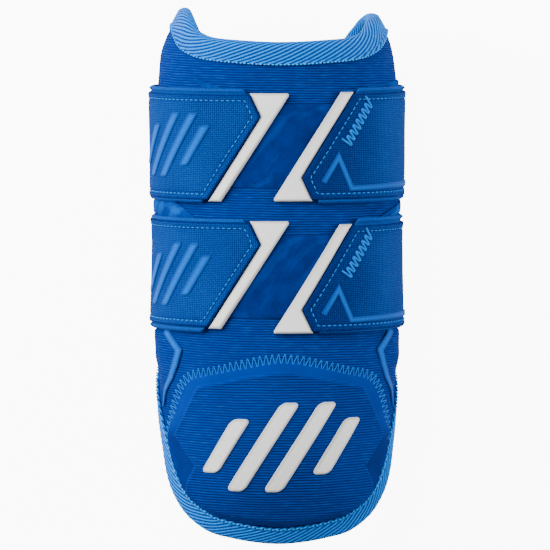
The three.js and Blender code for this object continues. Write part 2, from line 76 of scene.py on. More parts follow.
# Edge tape
TAPE_THICKNESS = 0.9
TAPE_DEPTH = 7.0
TAPE_REACH = 3.0
TAPE_SLACK = 0.6
TAPE_INNER = 1.6
TAPE_TOP = 0.95
TAPE_LOW = -(WALL_OUTER + CLEARANCE + WALL_INNER + TAPE_SLACK + TAPE_THICKNESS)
TAPE_SLANT = 2.2
CORD_PITCH = 3.7
CORD_RELIEF = 0.34
CORD_STEPS = 10

# Straps, tabs and tips
STRAP_WIDTH = 52.5
STRAP_THICKNESS = 1.4
STRAP_Y = {"upper": 62.0, "lower": 2.4}
SIDES = {"left": -1, "right": 1}
STRAP_GAP_Y = sum(STRAP_Y.values()) / 2
STRAP_LIFT_FROM = 112
STRAP_LIFT_TO = 138
TAB_LIP = 2.2
TAB_THICKNESS = 1.0
TAB_REACH = 92.0
TAB_TIP_X = 9.3
TAB_TIP_LEVEL = 14.1
TAB_SLANT = 0.59
TAB_NOSE_SLOPE = 0.456
STITCH_INSET = 3.0
TIP_BAR_WIDTH = 6.74
TIP_SLANT = 0.62
TIP_THICKNESS = 2.0
TIP_END_INSET = 1.4
TIP_ROUND = 1.8
BAR_SLANT = 0.63
FILM_THICKNESS = 0.5
PILE_THICKNESS = 0.6
FRONT_PILE_HALF = (50.0, 19.0)
OVER_PANELS = CLEARANCE + PILE_THICKNESS + 1.35 * CLEARANCE
OVER_TAPE = TAPE_SLACK + TAPE_THICKNESS + 2.4 * CLEARANCE
TAB_HEIGHT = OVER_PANELS + STRAP_THICKNESS + CLEARANCE
TAB_TOP = TAB_HEIGHT + TAB_THICKNESS

# Bars in place of a badge: their width and pitch, and the length of the inner and the outer two
TAB_BARS = (5.0, 9.5, 30.0, 19.0)
CAP_BARS = (8.5, 17.0, 40.0, 25.0)
CAP_BAR_THICKNESS = 1.0
TAB_BARS_GIRTH = -54.0
CAP_BARS_Y = -75.0

# How far each fastened end sits below its strap's middle
END_DROPS = {
    ("upper", "left"): 0.7, ("upper", "right"): 0.4, ("lower", "left"): -0.5, ("lower", "right"): 1.3,
}

# Elbow cap
CAP_APEX = -35.4
CAP_SHOULDER_DROP = 8.0
CAP_SHOULDER_X = 37.0
CAP_SIDE_X = 50.5
CAP_SIDE_LOW = -76.0
CAP_SEAM_TURN = 2.3
CAP_THIN = 1.0

# Corners of the cap's raised middle as seen from the front, from the middle line out: x and y
PLATEAU = np.array([
    (0.0, -41.6), (7.0, -42.2), (15.0, -43.8), (22.3, -45.4), (36.7, -49.0), (46.2, -71.9),
    (37.6, -85.6), (41.0, -93.2), (41.5, -100.0), (30.0, -116.0), (0.0, -126.0),
])

# Share of the length, share of the half width, share of the front's rise
PROFILE = np.array([
    (-0.03, 0.885, 0.5), (0.05, 0.918, 0.73), (0.12, 0.96, 0.9), (0.2, 0.968, 0.99),
    (0.32, 0.992, 1.02), (0.41, 0.998, 1.005), (0.5, 0.985, 0.99), (0.6, 0.978, 0.99),
    (0.7, 0.992, 0.985), (0.8, 0.996, 0.98), (0.92, 1, 0.985), (0.98, 0.978, 0.99),
    (1.02, 0.925, 0.99), (1.045, 0.865, 0.99), (1.08, 0.785, 0.99),
])

# Turn round the arm in degrees, share of the rise
LOWER_EDGE = np.array([
    (-14, 0.012), (0, 0), (14, 0.012), (27, 0.036), (38, 0.062), (48, 0.112), (57.5, 0.178),
    (65.5, 0.275), (71, 0.375), (78, 0.52), (90, 0.7), (105, 0.85), (125, 0.965), (160, 1),
])
UPPER_EDGE = np.array([
    (-25, 0.075), (0, 0), (25, 0.07), (40, 0.16), (52, 0.36), (62, 0.63), (75, 0.88),
    (90, 0.98), (122, 0.93), (160, 0.85),
])

# What centred the solids' box on the frame's origin
SHIFT = np.array([0.0525, -0.4273, 0.0])

# How far from a place its neighbours are taken, to find the slope of the surface
PROBE = 0.8

# A piece's mask rises from 0 at its outline to 1 this far in
MASK_DEPTH = 6.0


# Outline and surface of the wall

def ease(low, high, value):
    t = np.clip((value - low) / (high - low), 0, 1)
    return t * t * (3 - 2 * t)


def mix(a, b, share):
    return a + (b - a) * share


def least(*values):
    return np.minimum.reduce(np.broadcast_arrays(*values))


def hump(value, middle, reach, power=2):
    """1 at the middle, falling off smoothly to both sides."""
    return np.exp(-((value - middle) / reach) ** power)


def rounding(share):
    """How far a quarter-round edge falls off, at a share of its radius in from its end."""
    share = np.clip(share, 0, 1)
    return 1 - np.sqrt(np.maximum(1 - (1 - share) ** 2, 0))


def ways_along(points):
    """How far along a line each of its points lies."""
    return np.append(0, np.cumsum(np.linalg.norm(np.diff(points, axis=0), axis=1)))


def read_table(rows, column, at):
    """A smooth line through a table's rows, held level past its ends."""
    keys = rows[:, 0]
    values = rows[:, column]
    last = len(keys) - 1
    at = np.clip(at, keys[0], keys[last])
    i = np.minimum(np.searchsorted(keys[1:], at, side="left"), last - 1)
    before = np.maximum(np.arange(last + 1) - 1, 0)
    after = np.minimum(np.arange(last + 1) + 1, last)
    slopes = (values[after] - values[before]) / (keys[after] - keys[before])
    span = keys[i + 1] - keys[i]
    t = (at - keys[i]) / span
    bend = span * t * (1 - t) * (slopes[i] * (1 - t) - slopes[i + 1] * t)
    return mix(values[i], values[i + 1], t * t * (3 - 2 * t)) + bend


def section(turn, wide, front):
    """The cross-section: an ellipse in front and a fuller, flatter curve behind."""
    angle = np.abs(turn)
    behind = np.clip(angle - QUARTER, 0, QUARTER)
    inwards = np.maximum(np.cos(behind), 0) ** BACK_FULLNESS
    x = wide * np.where(angle <= QUARTER, np.sin(angle), inwards)
    rise = np.where(angle <= QUARTER, front * np.cos(angle), -BACK_DROP * np.sin(behind))
    return np.where(turn < 0, -x, x), WIDE_LEVEL + rise


TURNS = np.linspace(0, math.pi, 361)
GIRTHS = ways_along(np.stack(section(TURNS, HALF_WIDTH, FRONT_RISE), 1))
FULL_GIRTH = GIRTHS[-1]


def turn_at(girth):
    return np.sign(girth) * np.interp(np.abs(girth), GIRTHS, TURNS)


def degrees_at(girth):
    return np.degrees(np.abs(turn_at(girth)))


def girth_at(turn):
    return np.sign(turn) * np.interp(np.abs(turn), TURNS, GIRTHS)


def place_along(y):
    return (y - LOWER_END) / (FRONT_TOP - LOWER_END)


def profile(column, y):
    return read_table(PROFILE, column, place_along(y))


def girth_across(x, y):
    """The girth of a place on the front that is x from the middle."""
    return girth_at(np.arcsin(np.clip(x / (HALF_WIDTH * profile(1, y)), -1, 1)))


def skin(girth, y):
    """Points of the bare surface. A girth past the middle of the back goes on round the arm."""
    girth, y = np.broadcast_arrays(np.asarray(girth, float), np.asarray(y, float))
    girth = np.where(girth < -FULL_GIRTH, girth + 2 * FULL_GIRTH, girth)
    girth = np.where(girth > FULL_GIRTH, girth - 2 * FULL_GIRTH, girth)
    x, z = section(turn_at(girth), HALF_WIDTH * profile(1, y), FRONT_RISE * profile(2, y))
    return np.stack([x, y, z], axis=-1)


def surface(girth, y):
    """Point, outward normal and the two directions of the bare surface."""
    around = (skin(girth + PROBE, y) - skin(girth - PROBE, y)) / (2 * PROBE)
    along = (skin(girth, y + PROBE) - skin(girth, y - PROBE)) / (2 * PROBE)
    normal = np.cross(around, along)
    normal /= np.linalg.norm(normal, axis=-1, keepdims=True)
    return skin(girth, y), normal, around, along


def raised(girth, y, height):
    point, normal, _, _ = surface(girth, y)
    return point + normal * np.asarray(height)[..., None]


SLOT_TURN = QUARTER + math.acos((SLOT_HALF_WIDTH / HALF_WIDTH) ** (1 / BACK_FULLNESS))
WING_GIRTH = float(girth_at(SLOT_TURN))


def corner_drop(girth, wide, high):
    """How far a wing's rounded corner falls off: wide is its reach round the arm."""
    return high * rounding((WING_GIRTH - np.abs(girth)) / wide)


def lower_edge(girth):
    level = LOWER_END + WING_LOW * read_table(LOWER_EDGE, 1, degrees_at(girth))
    return level + corner_drop(girth, WING_ROUND, WING_ROUND)


def upper_edge(girth):
    turn = turn_at(girth)
    rise = HORN_RISE * read_table(UPPER_EDGE, 1, degrees_at(girth))
    level = FRONT_TOP + rise * (1 - HORN_LEAN * np.sin(turn))
    reach = np.where(turn < 0, LEFT_HORN_REACH, RIGHT_HORN_REACH)
    return level - corner_drop(girth, reach, HORN_DROP)


def soft_waves(girth, y, seed, length, count=9):
    """Smooth seeded unevenness of about one millimetre for a height of 1."""
    rng = np.random.default_rng(seed)
    total = np.zeros(np.broadcast(girth, y).shape)
    for _ in range(count):
        angle = rng.uniform(0, 2 * math.pi)
        step = 2 * math.pi / (length * rng.uniform(0.6, 1.6))
        phase = rng.uniform(0, 2 * math.pi)
        total += np.sin((girth * math.cos(angle) + y * math.sin(angle)) * step + phase)
    return total / count ** 0.5


# Meshes

def linked(name, data):
    """An object at the origin that holds a mesh, a camera or a light."""
    obj = bpy.data.objects.new(name, data)
    bpy.context.scene.collection.objects.link(obj)
    return obj


def new_object(name, points, edges, faces, sharp_angle=0, **layers):
    """An object from millimetre points, its place kept in its mesh, with values at each point."""
    mesh = bpy.data.meshes.new(name)
    mesh.from_pydata(((points + SHIFT) * MM).tolist(), edges, faces)
    mesh.update()
    mesh.shade_smooth()
    if sharp_angle:
        mesh.set_sharp_from_angle(angle=math.radians(sharp_angle))
    for layer_name, values in layers.items():
        kind, key = ("FLOAT", "value") if values.ndim == 1 else ("FLOAT_VECTOR", "vector")
        layer = mesh.attributes.new(layer_name, kind, "POINT")
        layer.data.foreach_set(key, values.astype(np.float32).ravel())
    return linked(name, mesh)


def face_outwards(points, quads):
    a, b, c, d = (points[quads[:, k]] for k in range(4))
    volume = (a * (np.cross(b, c) + np.cross(c, d))).sum()
    return quads[:, ::-1].tolist() if volume < 0 else quads.tolist()


def grid_quads(rows, columns, closed_rows=False):
    i = np.arange(rows if closed_rows else rows - 1)
    i, j = np.meshgrid(i, np.arange(columns - 1), indexing="ij")
    near = i * columns + j
    far = (i + 1) % rows * columns + j
    return np.stack([near, near + 1, far + 1, far], -1).reshape(-1, 4)


def sheet_object(name, upper, lower, girth, y, mask=1.0, sharp_angle=50, **layers):
    """A closed sheet from two grids of points. Cloth keeps girth, level and a mask of its face."""
    grid = np.arange(girth.size).reshape(girth.shape)
    rim = np.concatenate([grid[0, :-1], grid[:-1, -1], grid[-1, :0:-1], grid[:0:-1, 0]])
    after = np.roll(rim, -1)
    face = grid_quads(*girth.shape)
    wall = np.stack([rim, after, after + grid.size, rim + grid.size], -1)
    quads = np.concatenate([face, (face + grid.size)[:, ::-1], wall[:, ::-1]])
    points = np.concatenate([upper.reshape(-1, 3), lower.reshape(-1, 3)])
    cloth = np.concatenate([
        np.stack(np.broadcast_arrays(girth, y, share), -1).reshape(-1, 3) for share in (mask, 0.0)
    ])
    quads = face_outwards(points, quads)
    return new_object(name, points, [], quads, sharp_angle, cloth=cloth, **layers)


def rounded_steps(count, ends=3, share=0.03):
    """Shares from 0 to 1, close together at both ends where an edge is rounded."""
    near = share * (np.arange(ends) / ends) ** 1.3
    return np.concatenate([near, np.linspace(share, 1 - share, count), 1 - near[::-1]])


def bevelled(name, girth, y, inside, base, thickness, bevel, lift=None):
    """A plate on the guard, rounded down to its outline, which lies so far from each place."""
    floor = base(girth, y) if callable(base) else base
    height = floor + thickness - bevel * 0.8 * rounding(inside / bevel)
    if lift:
        height = height + lift(girth, y, inside)
    mask = np.clip(inside / MASK_DEPTH, 0, 1)
    return sheet_object(name, raised(girth, y, height), raised(girth, y, floor), girth, y, mask)


def level_plate(name, levels, ends, base, thickness, bevel, columns=24, lift=None):
    """A plate between two ends, each of which gives a girth for a level."""
    left, right = np.sort([[end(y) for y in levels] for end in ends], axis=0)[..., None]
    leans = [np.hypot(1, np.gradient(line[:, 0], levels))[:, None] for line in (left, right)]
    girth = mix(left, right, rounded_steps(columns))
    y = np.broadcast_to(levels[:, None], girth.shape)
    inside = least((girth - left) / leans[0], (right - girth) / leans[1], y - levels[0], levels[-1] - y)
    return bevelled(name, girth, y, inside, base, thickness, bevel, lift)


def resample(points, step):
    """Evenly spaced places along a broken line of girths and levels."""
    points = np.asarray(points, float)
    ways = ways_along(points)
    at = np.linspace(0, ways[-1], max(2, int(round(ways[-1] / step)) + 1))
    return [np.interp(at, ways, column) for column in points.T]


# Node trees

def formula(operation, turned=False):
    """A method that puts a sum of a flow and another value into its tree."""
    def method(self, other):
        values = (other, self) if turned else (self, other)
        return maths(operation, *values)
    return method


class Flow:
    """What a node puts out. It takes part in sums, so that a tree reads as formulas."""

    __add__ = formula("ADD")
    __sub__ = formula("SUBTRACT")
    __rsub__ = formula("SUBTRACT", True)
    __mul__ = formula("MULTIPLY")
    __truediv__ = formula("DIVIDE")
    __rtruediv__ = formula("DIVIDE", True)
    __pow__ = formula("POWER")

    def __init__(self, socket):
        self.socket = socket
        self.tree = socket.id_data


def feed(socket, value):
    """Gives an input a plain value or what another node puts out."""
    if isinstance(value, Flow):
        value.tree.links.new(value.socket, socket)
    else:
        socket.default_value = value


def add(tree, kind, inputs=(), **settings):
    """Adds a node with its settings and inputs, and gives back what it puts out."""
    node = tree.nodes.new(kind)
    for key, value in settings.items():
        setattr(node, key, value)
    for key, value in dict(inputs).items():
        feed(node.inputs[key], value)
    return [Flow(socket) for socket in node.outputs]


def maths(operation, *values):
    tree = next(value.tree for value in values if isinstance(value, Flow))
    return add(tree, "ShaderNodeMath", enumerate(values), operation=operation)[0]


def wave_of(turns):
    """A smooth wave between 0 and 1, one for each whole number."""
    return maths("SINE", turns * (2 * math.pi)) * 0.5 + 0.5


def split(vector):
    return add(vector.tree, "ShaderNodeSeparateXYZ", {0: vector})


def scaled(vector, factor):
    return add(vector.tree, "ShaderNodeVectorMath", {0: vector, "Scale": factor}, operation="SCALE")[0]


def new_group(kind, name, inputs, outputs):
    """An empty node group. Its inputs and outputs are labels under their kind of socket."""
    tree = bpy.data.node_groups.new(name, kind)
    for way, sockets in (("INPUT", inputs), ("OUTPUT", outputs)):
        for value_kind, labels in sockets.items():
            for label in labels:
                tree.interface.new_socket(label, in_out=way, socket_type=f"NodeSocket{value_kind}")
    given = {socket.name: Flow(socket) for socket in tree.nodes.new("NodeGroupInput").outputs}
    return tree, given, tree.nodes.new("NodeGroupOutput").inputs


# Geometry Nodes trees

def shape_tree(name, *sizes):
    shape = {"Geometry": ["Geometry"]}
    return new_group("GeometryNodeTree", name, {**shape, "Float": sizes, "Material": ["Material"]}, shape)


def end_shape(tree, given, out, shape):
    """Makes a tree's result one real, smooth mesh in its material."""
    for kind in ("GeometryNodeRealizeInstances", "GeometryNodeSetShadeSmooth"):
        shape = add(tree, kind, {"Geometry": shape})[0]
    dyed = add(tree, "GeometryNodeSetMaterial", {"Geometry": shape, "Material": given["Material"]})
    feed(out[0], dyed[0])
    return tree


def even_places(tree, given, step):
    line = add(tree, "GeometryNodeMeshToCurve", {"Mesh": given["Geometry"]})[0]
    return add(tree, "GeometryNodeResampleCurve", {"Curve": line, "Length": step}, mode="LENGTH")[0]


def named_vector(tree, name):
    kind = "GeometryNodeInputNamedAttribute"
    return add(tree, kind, {"Name": name}, data_type="FLOAT_VECTOR")[0]


def moved(tree, shape, offset):
    return add(tree, "GeometryNodeSetPosition", {"Geometry": shape, "Offset": offset})[0]


def stitch_tree():
    """A line of short thread dashes along a path, each turned a little by a seeded chance."""
    tree, given, out = shape_tree("Dash stitches", "Pitch", "Dash length", "Thread radius")
    places = even_places(tree, given, given["Pitch"])
    bead = add(tree, "GeometryNodeMeshUVSphere", {"Segments": 8, "Rings": 6, "Radius": 1.0})[0]
    radius = given["Thread radius"]
    stretch = add(tree, "ShaderNodeCombineXYZ", {"X": given["Dash length"] * 0.5, "Y": radius, "Z": radius})
    dash = add(tree, "GeometryNodeTransform", {"Geometry": bead, "Scale": stretch[0]})[0]
    sway = 0.08
    jitter = add(tree, "FunctionNodeRandomValue", data_type="FLOAT_VECTOR", inputs={
        "Min": (-sway, -sway, -sway), "Max": (sway, sway, sway), "Seed": 7,
    })[0]
    tangent = add(tree, "GeometryNodeInputTangent")[0]
    aim = add(tree, "ShaderNodeVectorMath", {0: tangent, 1: jitter}, operation="ADD")[0]
    turn = add(tree, "FunctionNodeAlignRotationToVector", {"Vector": aim}, axis="X")[0]
    laid = add(tree, "GeometryNodeInstanceOnPoints", {
        "Points": places, "Instance": dash, "Rotation": turn,
    })[0]
    return end_shape(tree, given, out, laid)


def zigzag_tree():
    """A thread that swings from side to side along a path."""
    tree, given, out = shape_tree("Zigzag seam", "Pitch", "Width", "Thread radius", "Lean", "Bend")
    places = even_places(tree, given, given["Pitch"] * 0.5)
    swing = maths("MODULO", add(tree, "GeometryNodeInputIndex")[0], 2.0) - 0.5
    across = scaled(named_vector(tree, "side"), swing * given["Width"])
    along = scaled(add(tree, "GeometryNodeInputTangent")[0], swing * given["Lean"])
    both = add(tree, "ShaderNodeVectorMath", {0: across, 1: along}, operation="ADD")[0]
    eased = add(tree, "GeometryNodeFilletCurve", mode="POLY", inputs={
        "Curve": moved(tree, places, both), "Count": 3, "Limit Radius": True, "Radius": given["Bend"],
    })[0]
    ring = add(tree, "GeometryNodeCurvePrimitiveCircle", {
        "Resolution": 8, "Radius": given["Thread radius"],
    })[0]
    thread = add(tree, "GeometryNodeCurveToMesh", {
        "Curve": eased, "Profile Curve": ring, "Fill Caps": True,
    })[0]
    return end_shape(tree, given, out, thread)


def cord_tree():
    """Raises the slanted cords of the tape, from its attribute of way along, way across and mask."""
    tree, given, out = shape_tree("Tape cords", "Pitch", "Height", "Slant")
    along, across, mask = split(named_vector(tree, "cloth"))
    crest = wave_of((along + across * given["Slant"]) / given["Pitch"]) ** 0.7
    # The crest is kept for the tape's painted highlight and shade.
    kept = add(tree, "GeometryNodeStoreNamedAttribute", {
        "Geometry": given["Geometry"], "Name": "crest", "Value": crest,
    }, data_type="FLOAT", domain="POINT")[0]
    normal = add(tree, "GeometryNodeInputNormal")[0]
    offset = scaled(normal, crest * mask * given["Height"])
    return end_shape(tree, given, out, moved(tree, kept, offset))


def grown(obj, tree, **values):
    """Runs a tree on an object and keeps its result as that object's plain mesh."""
    modifier = obj.modifiers.new(tree.name, "NODES")
    modifier.node_group = tree
    places = {item.name: item.identifier for item in tree.interface.items_tree if item.in_out == "INPUT"}
    for key, value in values.items():
        modifier[places[key.replace("_", " ").capitalize()]] = value
    bpy.context.view_layer.update()
    graph = bpy.context.evaluated_depsgraph_get()
    mesh = bpy.data.meshes.new_from_object(obj.evaluated_get(graph), depsgraph=graph)
    obj.modifiers.remove(modifier)
    bare = obj.data
    obj.data = mesh
    mesh.name = obj.name
    bpy.data.meshes.remove(bare)


DASHES = stitch_tree()
ZIGZAG = zigzag_tree()
CORDS = cord_tree()


# Shader groups

def noise(vector, scale, detail):
    return add(vector.tree, "ShaderNodeTexNoise", {"Vector": vector, "Scale": scale, "Detail": detail})[0]


def spread(value, low, high, start=0.0, end=1.0):
    """Takes what lies between two values over to two others, held level past them."""
    return add(value.tree, "ShaderNodeMapRange", {0: value, 1: low, 2: high, 3: start, 4: end})[0]


def mapped(vector, **changes):
    return add(vector.tree, "ShaderNodeMapping", {"Vector": vector, **changes})[0]


def blend(share, first, second):
    return add(share.tree, "ShaderNodeMix", {0: share, 6: first, 7: second}, data_type="RGBA")[2]


def shader_group(name, inputs, outputs):
    return new_group("ShaderNodeTree", name, inputs, outputs)


def rib_group():
    """Rounded ribs along one direction, a little wavy: their height, painted shade in their grooves and
    patchy painted highlights along their crests.
    """
    tree, given, out = shader_group(
        "Knit ribs", {"Vector": ["Cloth"], "Float": ["Pitch", "Waver", "Lean"]},
        {"Float": ["Height", "Groove", "Crest_highlight"]})
    cloth = given["Cloth"]
    x, y, _ = split(cloth)
    drift = (noise(cloth, 0.06, 2.0) - 0.5) * given["Waver"]
    rounded = wave_of((drift * 12.0 + y + x * given["Lean"]) / given["Pitch"]) ** 0.7
    # Painted highlight: noise picks out lighter streaks, which show only on the rib crests.
    bright = spread(noise(mapped(cloth, Scale=(0.16, 1.1, 1.0)), 1.0, 3.0), 0.5, 0.72)
    feed(out["Height"], maths("SINE", x * 7.0) * 0.1 + rounded)
    # Painted shade in the grooves between the ribs.
    feed(out["Groove"], 1.0 - rounded)
    feed(out["Crest_highlight"], bright * rounded)
    return tree


def weave_group():
    """A plain weave: over and under threads, their height and painted shade between them."""
    tree, given, out = shader_group(
        "Plain weave", {"Vector": ["Cloth"], "Float": ["Across", "Along"]},
        {"Float": ["Height", "Gap", "Speck"]})
    cloth = given["Cloth"]
    x, y, _ = split(cloth)
    warp = maths("SINE", x / given["Across"] * math.pi)
    weft = maths("SINE", y / given["Along"] * math.pi)
    threads = maths("ABSOLUTE", warp) * maths("ABSOLUTE", weft)
    uneven = (noise(cloth, 1.4, 3.0) - 0.5) * 0.3
    feed(out["Height"], warp * weft * 0.35 + threads + uneven)
    # Painted shade where the threads part.
    feed(out["Gap"], 1.0 - threads)
    feed(out["Speck"], spread(noise(cloth, 2.6, 2.0), 0.55, 0.75))
    return tree


def dye_and_shade_group():
    """Slow changes of shade over cloth from handling and dye, with the painted shade it is given darkening
    the colour further.
    """
    tree, given, out = shader_group(
        "Uneven dye and painted shade", {"Vector": ["Cloth"], "Color": ["Colour", "Dark"], "Float": ["Groove", "Spread"]},
        {"Color": ["Colour"]})
    cloth = given["Cloth"]
    tone = noise(cloth, 0.045, 4.0) + noise(cloth, 1.1, 3.0) * 0.6 - 0.8
    # The handling and dye tone, plus the painted shade input, set how far the colour goes dark.
    share = tone * given["Spread"] + given["Groove"]
    feed(out["Colour"], blend(share, given["Colour"], given["Dark"]))
    return tree


def grain_group():
    """The fine pebble of moulded rubber and film: a height and a faint speck."""
    tree, given, out = shader_group(
        "Moulded grain", {"Vector": ["Place"], "Float": ["Size"]}, {"Float": ["Height", "Speck"]})
    step = 1.0 / given["Size"]
    pebbles = add(tree, "ShaderNodeTexVoronoi", {"Vector": given["Place"], "Scale": step})
    feed(out["Height"], pebbles[0])
    feed(out["Speck"], noise(given["Place"], step * 0.8, 3.0))
    return tree


RIBS = rib_group()
WEAVE = weave_group()
DYE_AND_SHADE = dye_and_shade_group()
GRAIN = grain_group()


# Materials

def colour(red, green, blue):
    """A linear colour from the 0 to 255 values that a screen shows."""
    shares = [value / 255 for value in (red, green, blue)]
    linear = [share / 12.92 if share <= 0.04045 else ((share + 0.055) / 1.055) ** 2.4 for share in shares]
    return (*linear, 1.0)


def new_material(name, roughness, tint=(1, 1, 1, 1), specular=0.5):
    """A surface whose gloss takes a tint, as dyed fibres have, and its shader's inputs."""
    material = bpy.data.materials.new(name)
    material.use_nodes = True
    inputs = material.node_tree.nodes["Principled BSDF"].inputs
    for key, value in (("Roughness", roughness), ("Specular IOR Level", specular), ("Specular Tint", tint)):
        feed(inputs[key], value)
    return material, inputs


def attribute(material, name):
    """The colour, vector, number and alpha that a piece's mesh holds under a name."""
    return add(material.node_tree, "ShaderNodeAttribute", attribute_name=name)


def grouped(flow, group, **inputs):
    """Places a shader group in the tree that a flow belongs to."""
    return add(flow.tree, "ShaderNodeGroup", inputs, node_tree=group)


def cover(inputs, face, height, depth, strength):
    """Gives a shader its colour, and its relief of so many millimetres."""
    feed(inputs["Base Color"], face)
    relief = {"Height": height, "Distance": depth * MM, "Strength": strength}
    feed(inputs["Normal"], add(height.tree, "ShaderNodeBump", relief)[0])


def shade_ramp(share, *stops):
    """A colour that goes through stops of place and colour, the first and the last at its ends."""
    node = share.tree.nodes.new("ShaderNodeValToRGB")
    feed(node.inputs[0], share)
    elements = node.color_ramp.elements
    elements[0].position, elements[0].color = stops[0]
    elements[1].position, elements[1].color = stops[-1]
    for place, tone in stops[1:-1]:
        elements.new(place).color = tone
    return Flow(node.outputs[0])


def ribbed_knit(name, base, dark, light, pitch, lean=0.0, smooth_band_and_shade=False):
    """The shell's and the cap's knit: ribs round the arm with painted shade in their grooves and painted
    highlights along their crests, smooth and a little darker where the cloth is pressed smooth, and painted
    shade in the cap's hollows.
    """
    material, inputs = new_material(name, 0.8, colour(0, 110, 255), 0.06)
    cloth = attribute(material, "cloth")[1]
    height, painted_shade, streak = grouped(cloth, RIBS, Cloth=cloth, Pitch=pitch, Waver=0.07, Lean=lean)
    # Painted shade in the rib grooves, and painted highlight streaks on the crests.
    painted_shade = painted_shade * 0.8
    streak = streak * 0.5
    if smooth_band_and_shade:
        flat = attribute(material, "flat")[2]
        ribbed = maths("MAXIMUM", 1.0 - flat, 0.0)
        height = height * ribbed
        streak = streak * ribbed
        # The smooth band is made a little darker, and the hollows beside the cap's raised middle get painted
        # shade.
        painted_shade = painted_shade * ribbed + flat * 0.25
    dyed = grouped(cloth, DYE_AND_SHADE, Cloth=cloth, Colour=base, Dark=dark, Groove=painted_shade, Spread=0.5)[0]
    cover(inputs, blend(streak, dyed, light), height, 0.4, 0.9)
    return material


def woven_cloth(name, base, dark, across, along, depth, contrast=0.6, edged=False):
    """Straps and tabs: a close plain weave with light specks and painted shade between its threads; an edged
    cloth also gets painted shade at its sewn edge, along its sunk stitched line and towards a right tab's
    nose.
    """
    material, inputs = new_material(name, 0.78, colour(0, 120, 255), 0.08)
    cloth = attribute(material, "cloth")[1]
    height, gap, speck = grouped(cloth, WEAVE, Cloth=cloth, Across=across, Along=along)
    painted_shade = gap * contrast
    if edged:
        girth, _, inside = split(cloth)
        # Painted shade at the tab's outline and along the sunk stitched line.
        shades = ((0.0, 1.0), (0.07, 0.75), (0.14, 0.1), (0.42, 0.06), (0.5, 0.42), (0.58, 0.06), (1.0, 0.0))
        edge_and_seam_shade = shade_ramp(inside, *((place, (shade, shade, shade, 1)) for place, shade in shades))
        # Painted shade: a right tab grows darker towards its nose.
        right_nose_shade = spread(girth, 5.0, 52.0, 0.75, 0.0) * maths("GREATER_THAN", girth, 0.0)
        painted_shade = painted_shade + edge_and_seam_shade + right_nose_shade
    dyed = grouped(cloth, DYE_AND_SHADE, Cloth=cloth, Colour=base, Dark=dark, Groove=painted_shade, Spread=0.4)[0]
    light = tuple(min(1.0, channel * 1.8 + 0.01) for channel in base[:3]) + (1.0,)
    cover(inputs, blend(speck * 0.3, dyed, light), height, depth, 0.9)
    return material


def brushed_pile(name, base, dark, light):
    """The loop panels: short brushed fibres, laid over in slanting lighter streaks."""
    material, inputs = new_material(name, 0.9, colour(0, 90, 230), 0.05)
    cloth = attribute(material, "cloth")[1]
    tufts = noise(cloth, 1.5, 5.0)
    share = spread(noise(cloth, 0.12, 3.0) * 0.8 + tufts * 0.5, 0.4, 0.95)
    turned = mapped(cloth, Rotation=(0, 0, math.radians(-52)))
    laid = noise(mapped(turned, Scale=(0.03, 0.16, 1.0)), 1.0, 4.0)
    streak = spread(laid, 0.5, 0.72, 0.0, 0.6)
    cover(inputs, blend(streak, blend(share, dark, base), light), tufts, 0.25, 0.7)
    return material


def tape_cloth(name, base, dark, light):
    """The edge tape: cords of fine twisted yarn, with painted highlight on their crests and painted shade in
    the grooves between them.
    """
    material, inputs = new_material(name, 0.6, colour(60, 180, 255), 0.14)
    cloth = attribute(material, "cloth")[1]
    crest = attribute(material, "crest")[2]
    yarn = maths("SINE", split(cloth)[1] * (2 * math.pi / 0.75))
    fine = noise(cloth, 1.1, 4.0)
    # Painted light: lighter on the cords' crests and darker in the grooves.
    lit = fine * 0.45 + (crest - 0.22) + yarn * 0.07
    face = shade_ramp(lit, (0.12, dark), (0.6, base), (1.0, light))
    cover(inputs, face, yarn * 0.3 + fine, 0.14, 0.7)
    return material


def moulded(name, base, shadow, roughness, grain, specular=0.4, tint=(1, 1, 1, 1)):
    """White rubber and light film: a fine pebbled face, with painted shade on its bevelled edges."""
    material, inputs = new_material(name, roughness, tint, specular)
    cloth = attribute(material, "cloth")[1]
    height, speck = grouped(cloth, GRAIN, Place=cloth, Size=grain)
    face = blend(spread(speck, 0.35, 0.7), shadow, base)
    # Painted shade on the bevelled edges: a darker copy of the second tone near the outline.
    edge = spread(split(cloth)[2], 0.24, 0.1)
    dark = tuple(channel * 0.66 for channel in shadow[:3]) + (1.0,)
    cover(inputs, blend(edge, face, dark), height, 0.05, 0.6)
    feed(inputs["Roughness"], speck * 0.15 + (roughness - 0.07))
    return material


def spun_thread(name, base, light):
    material, inputs = new_material(name, 0.55, colour(90, 190, 255), 0.12)
    place = add(material.node_tree, "ShaderNodeTexCoord")[3]
    twist = add(material.node_tree, "ShaderNodeTexWave", {
        "Vector": place, "Scale": 900.0, "Distortion": 2.0,
    }, bands_direction="DIAGONAL")[1]
    cover(inputs, blend(twist, base, light), twist, 0.06, 0.7)
    return material


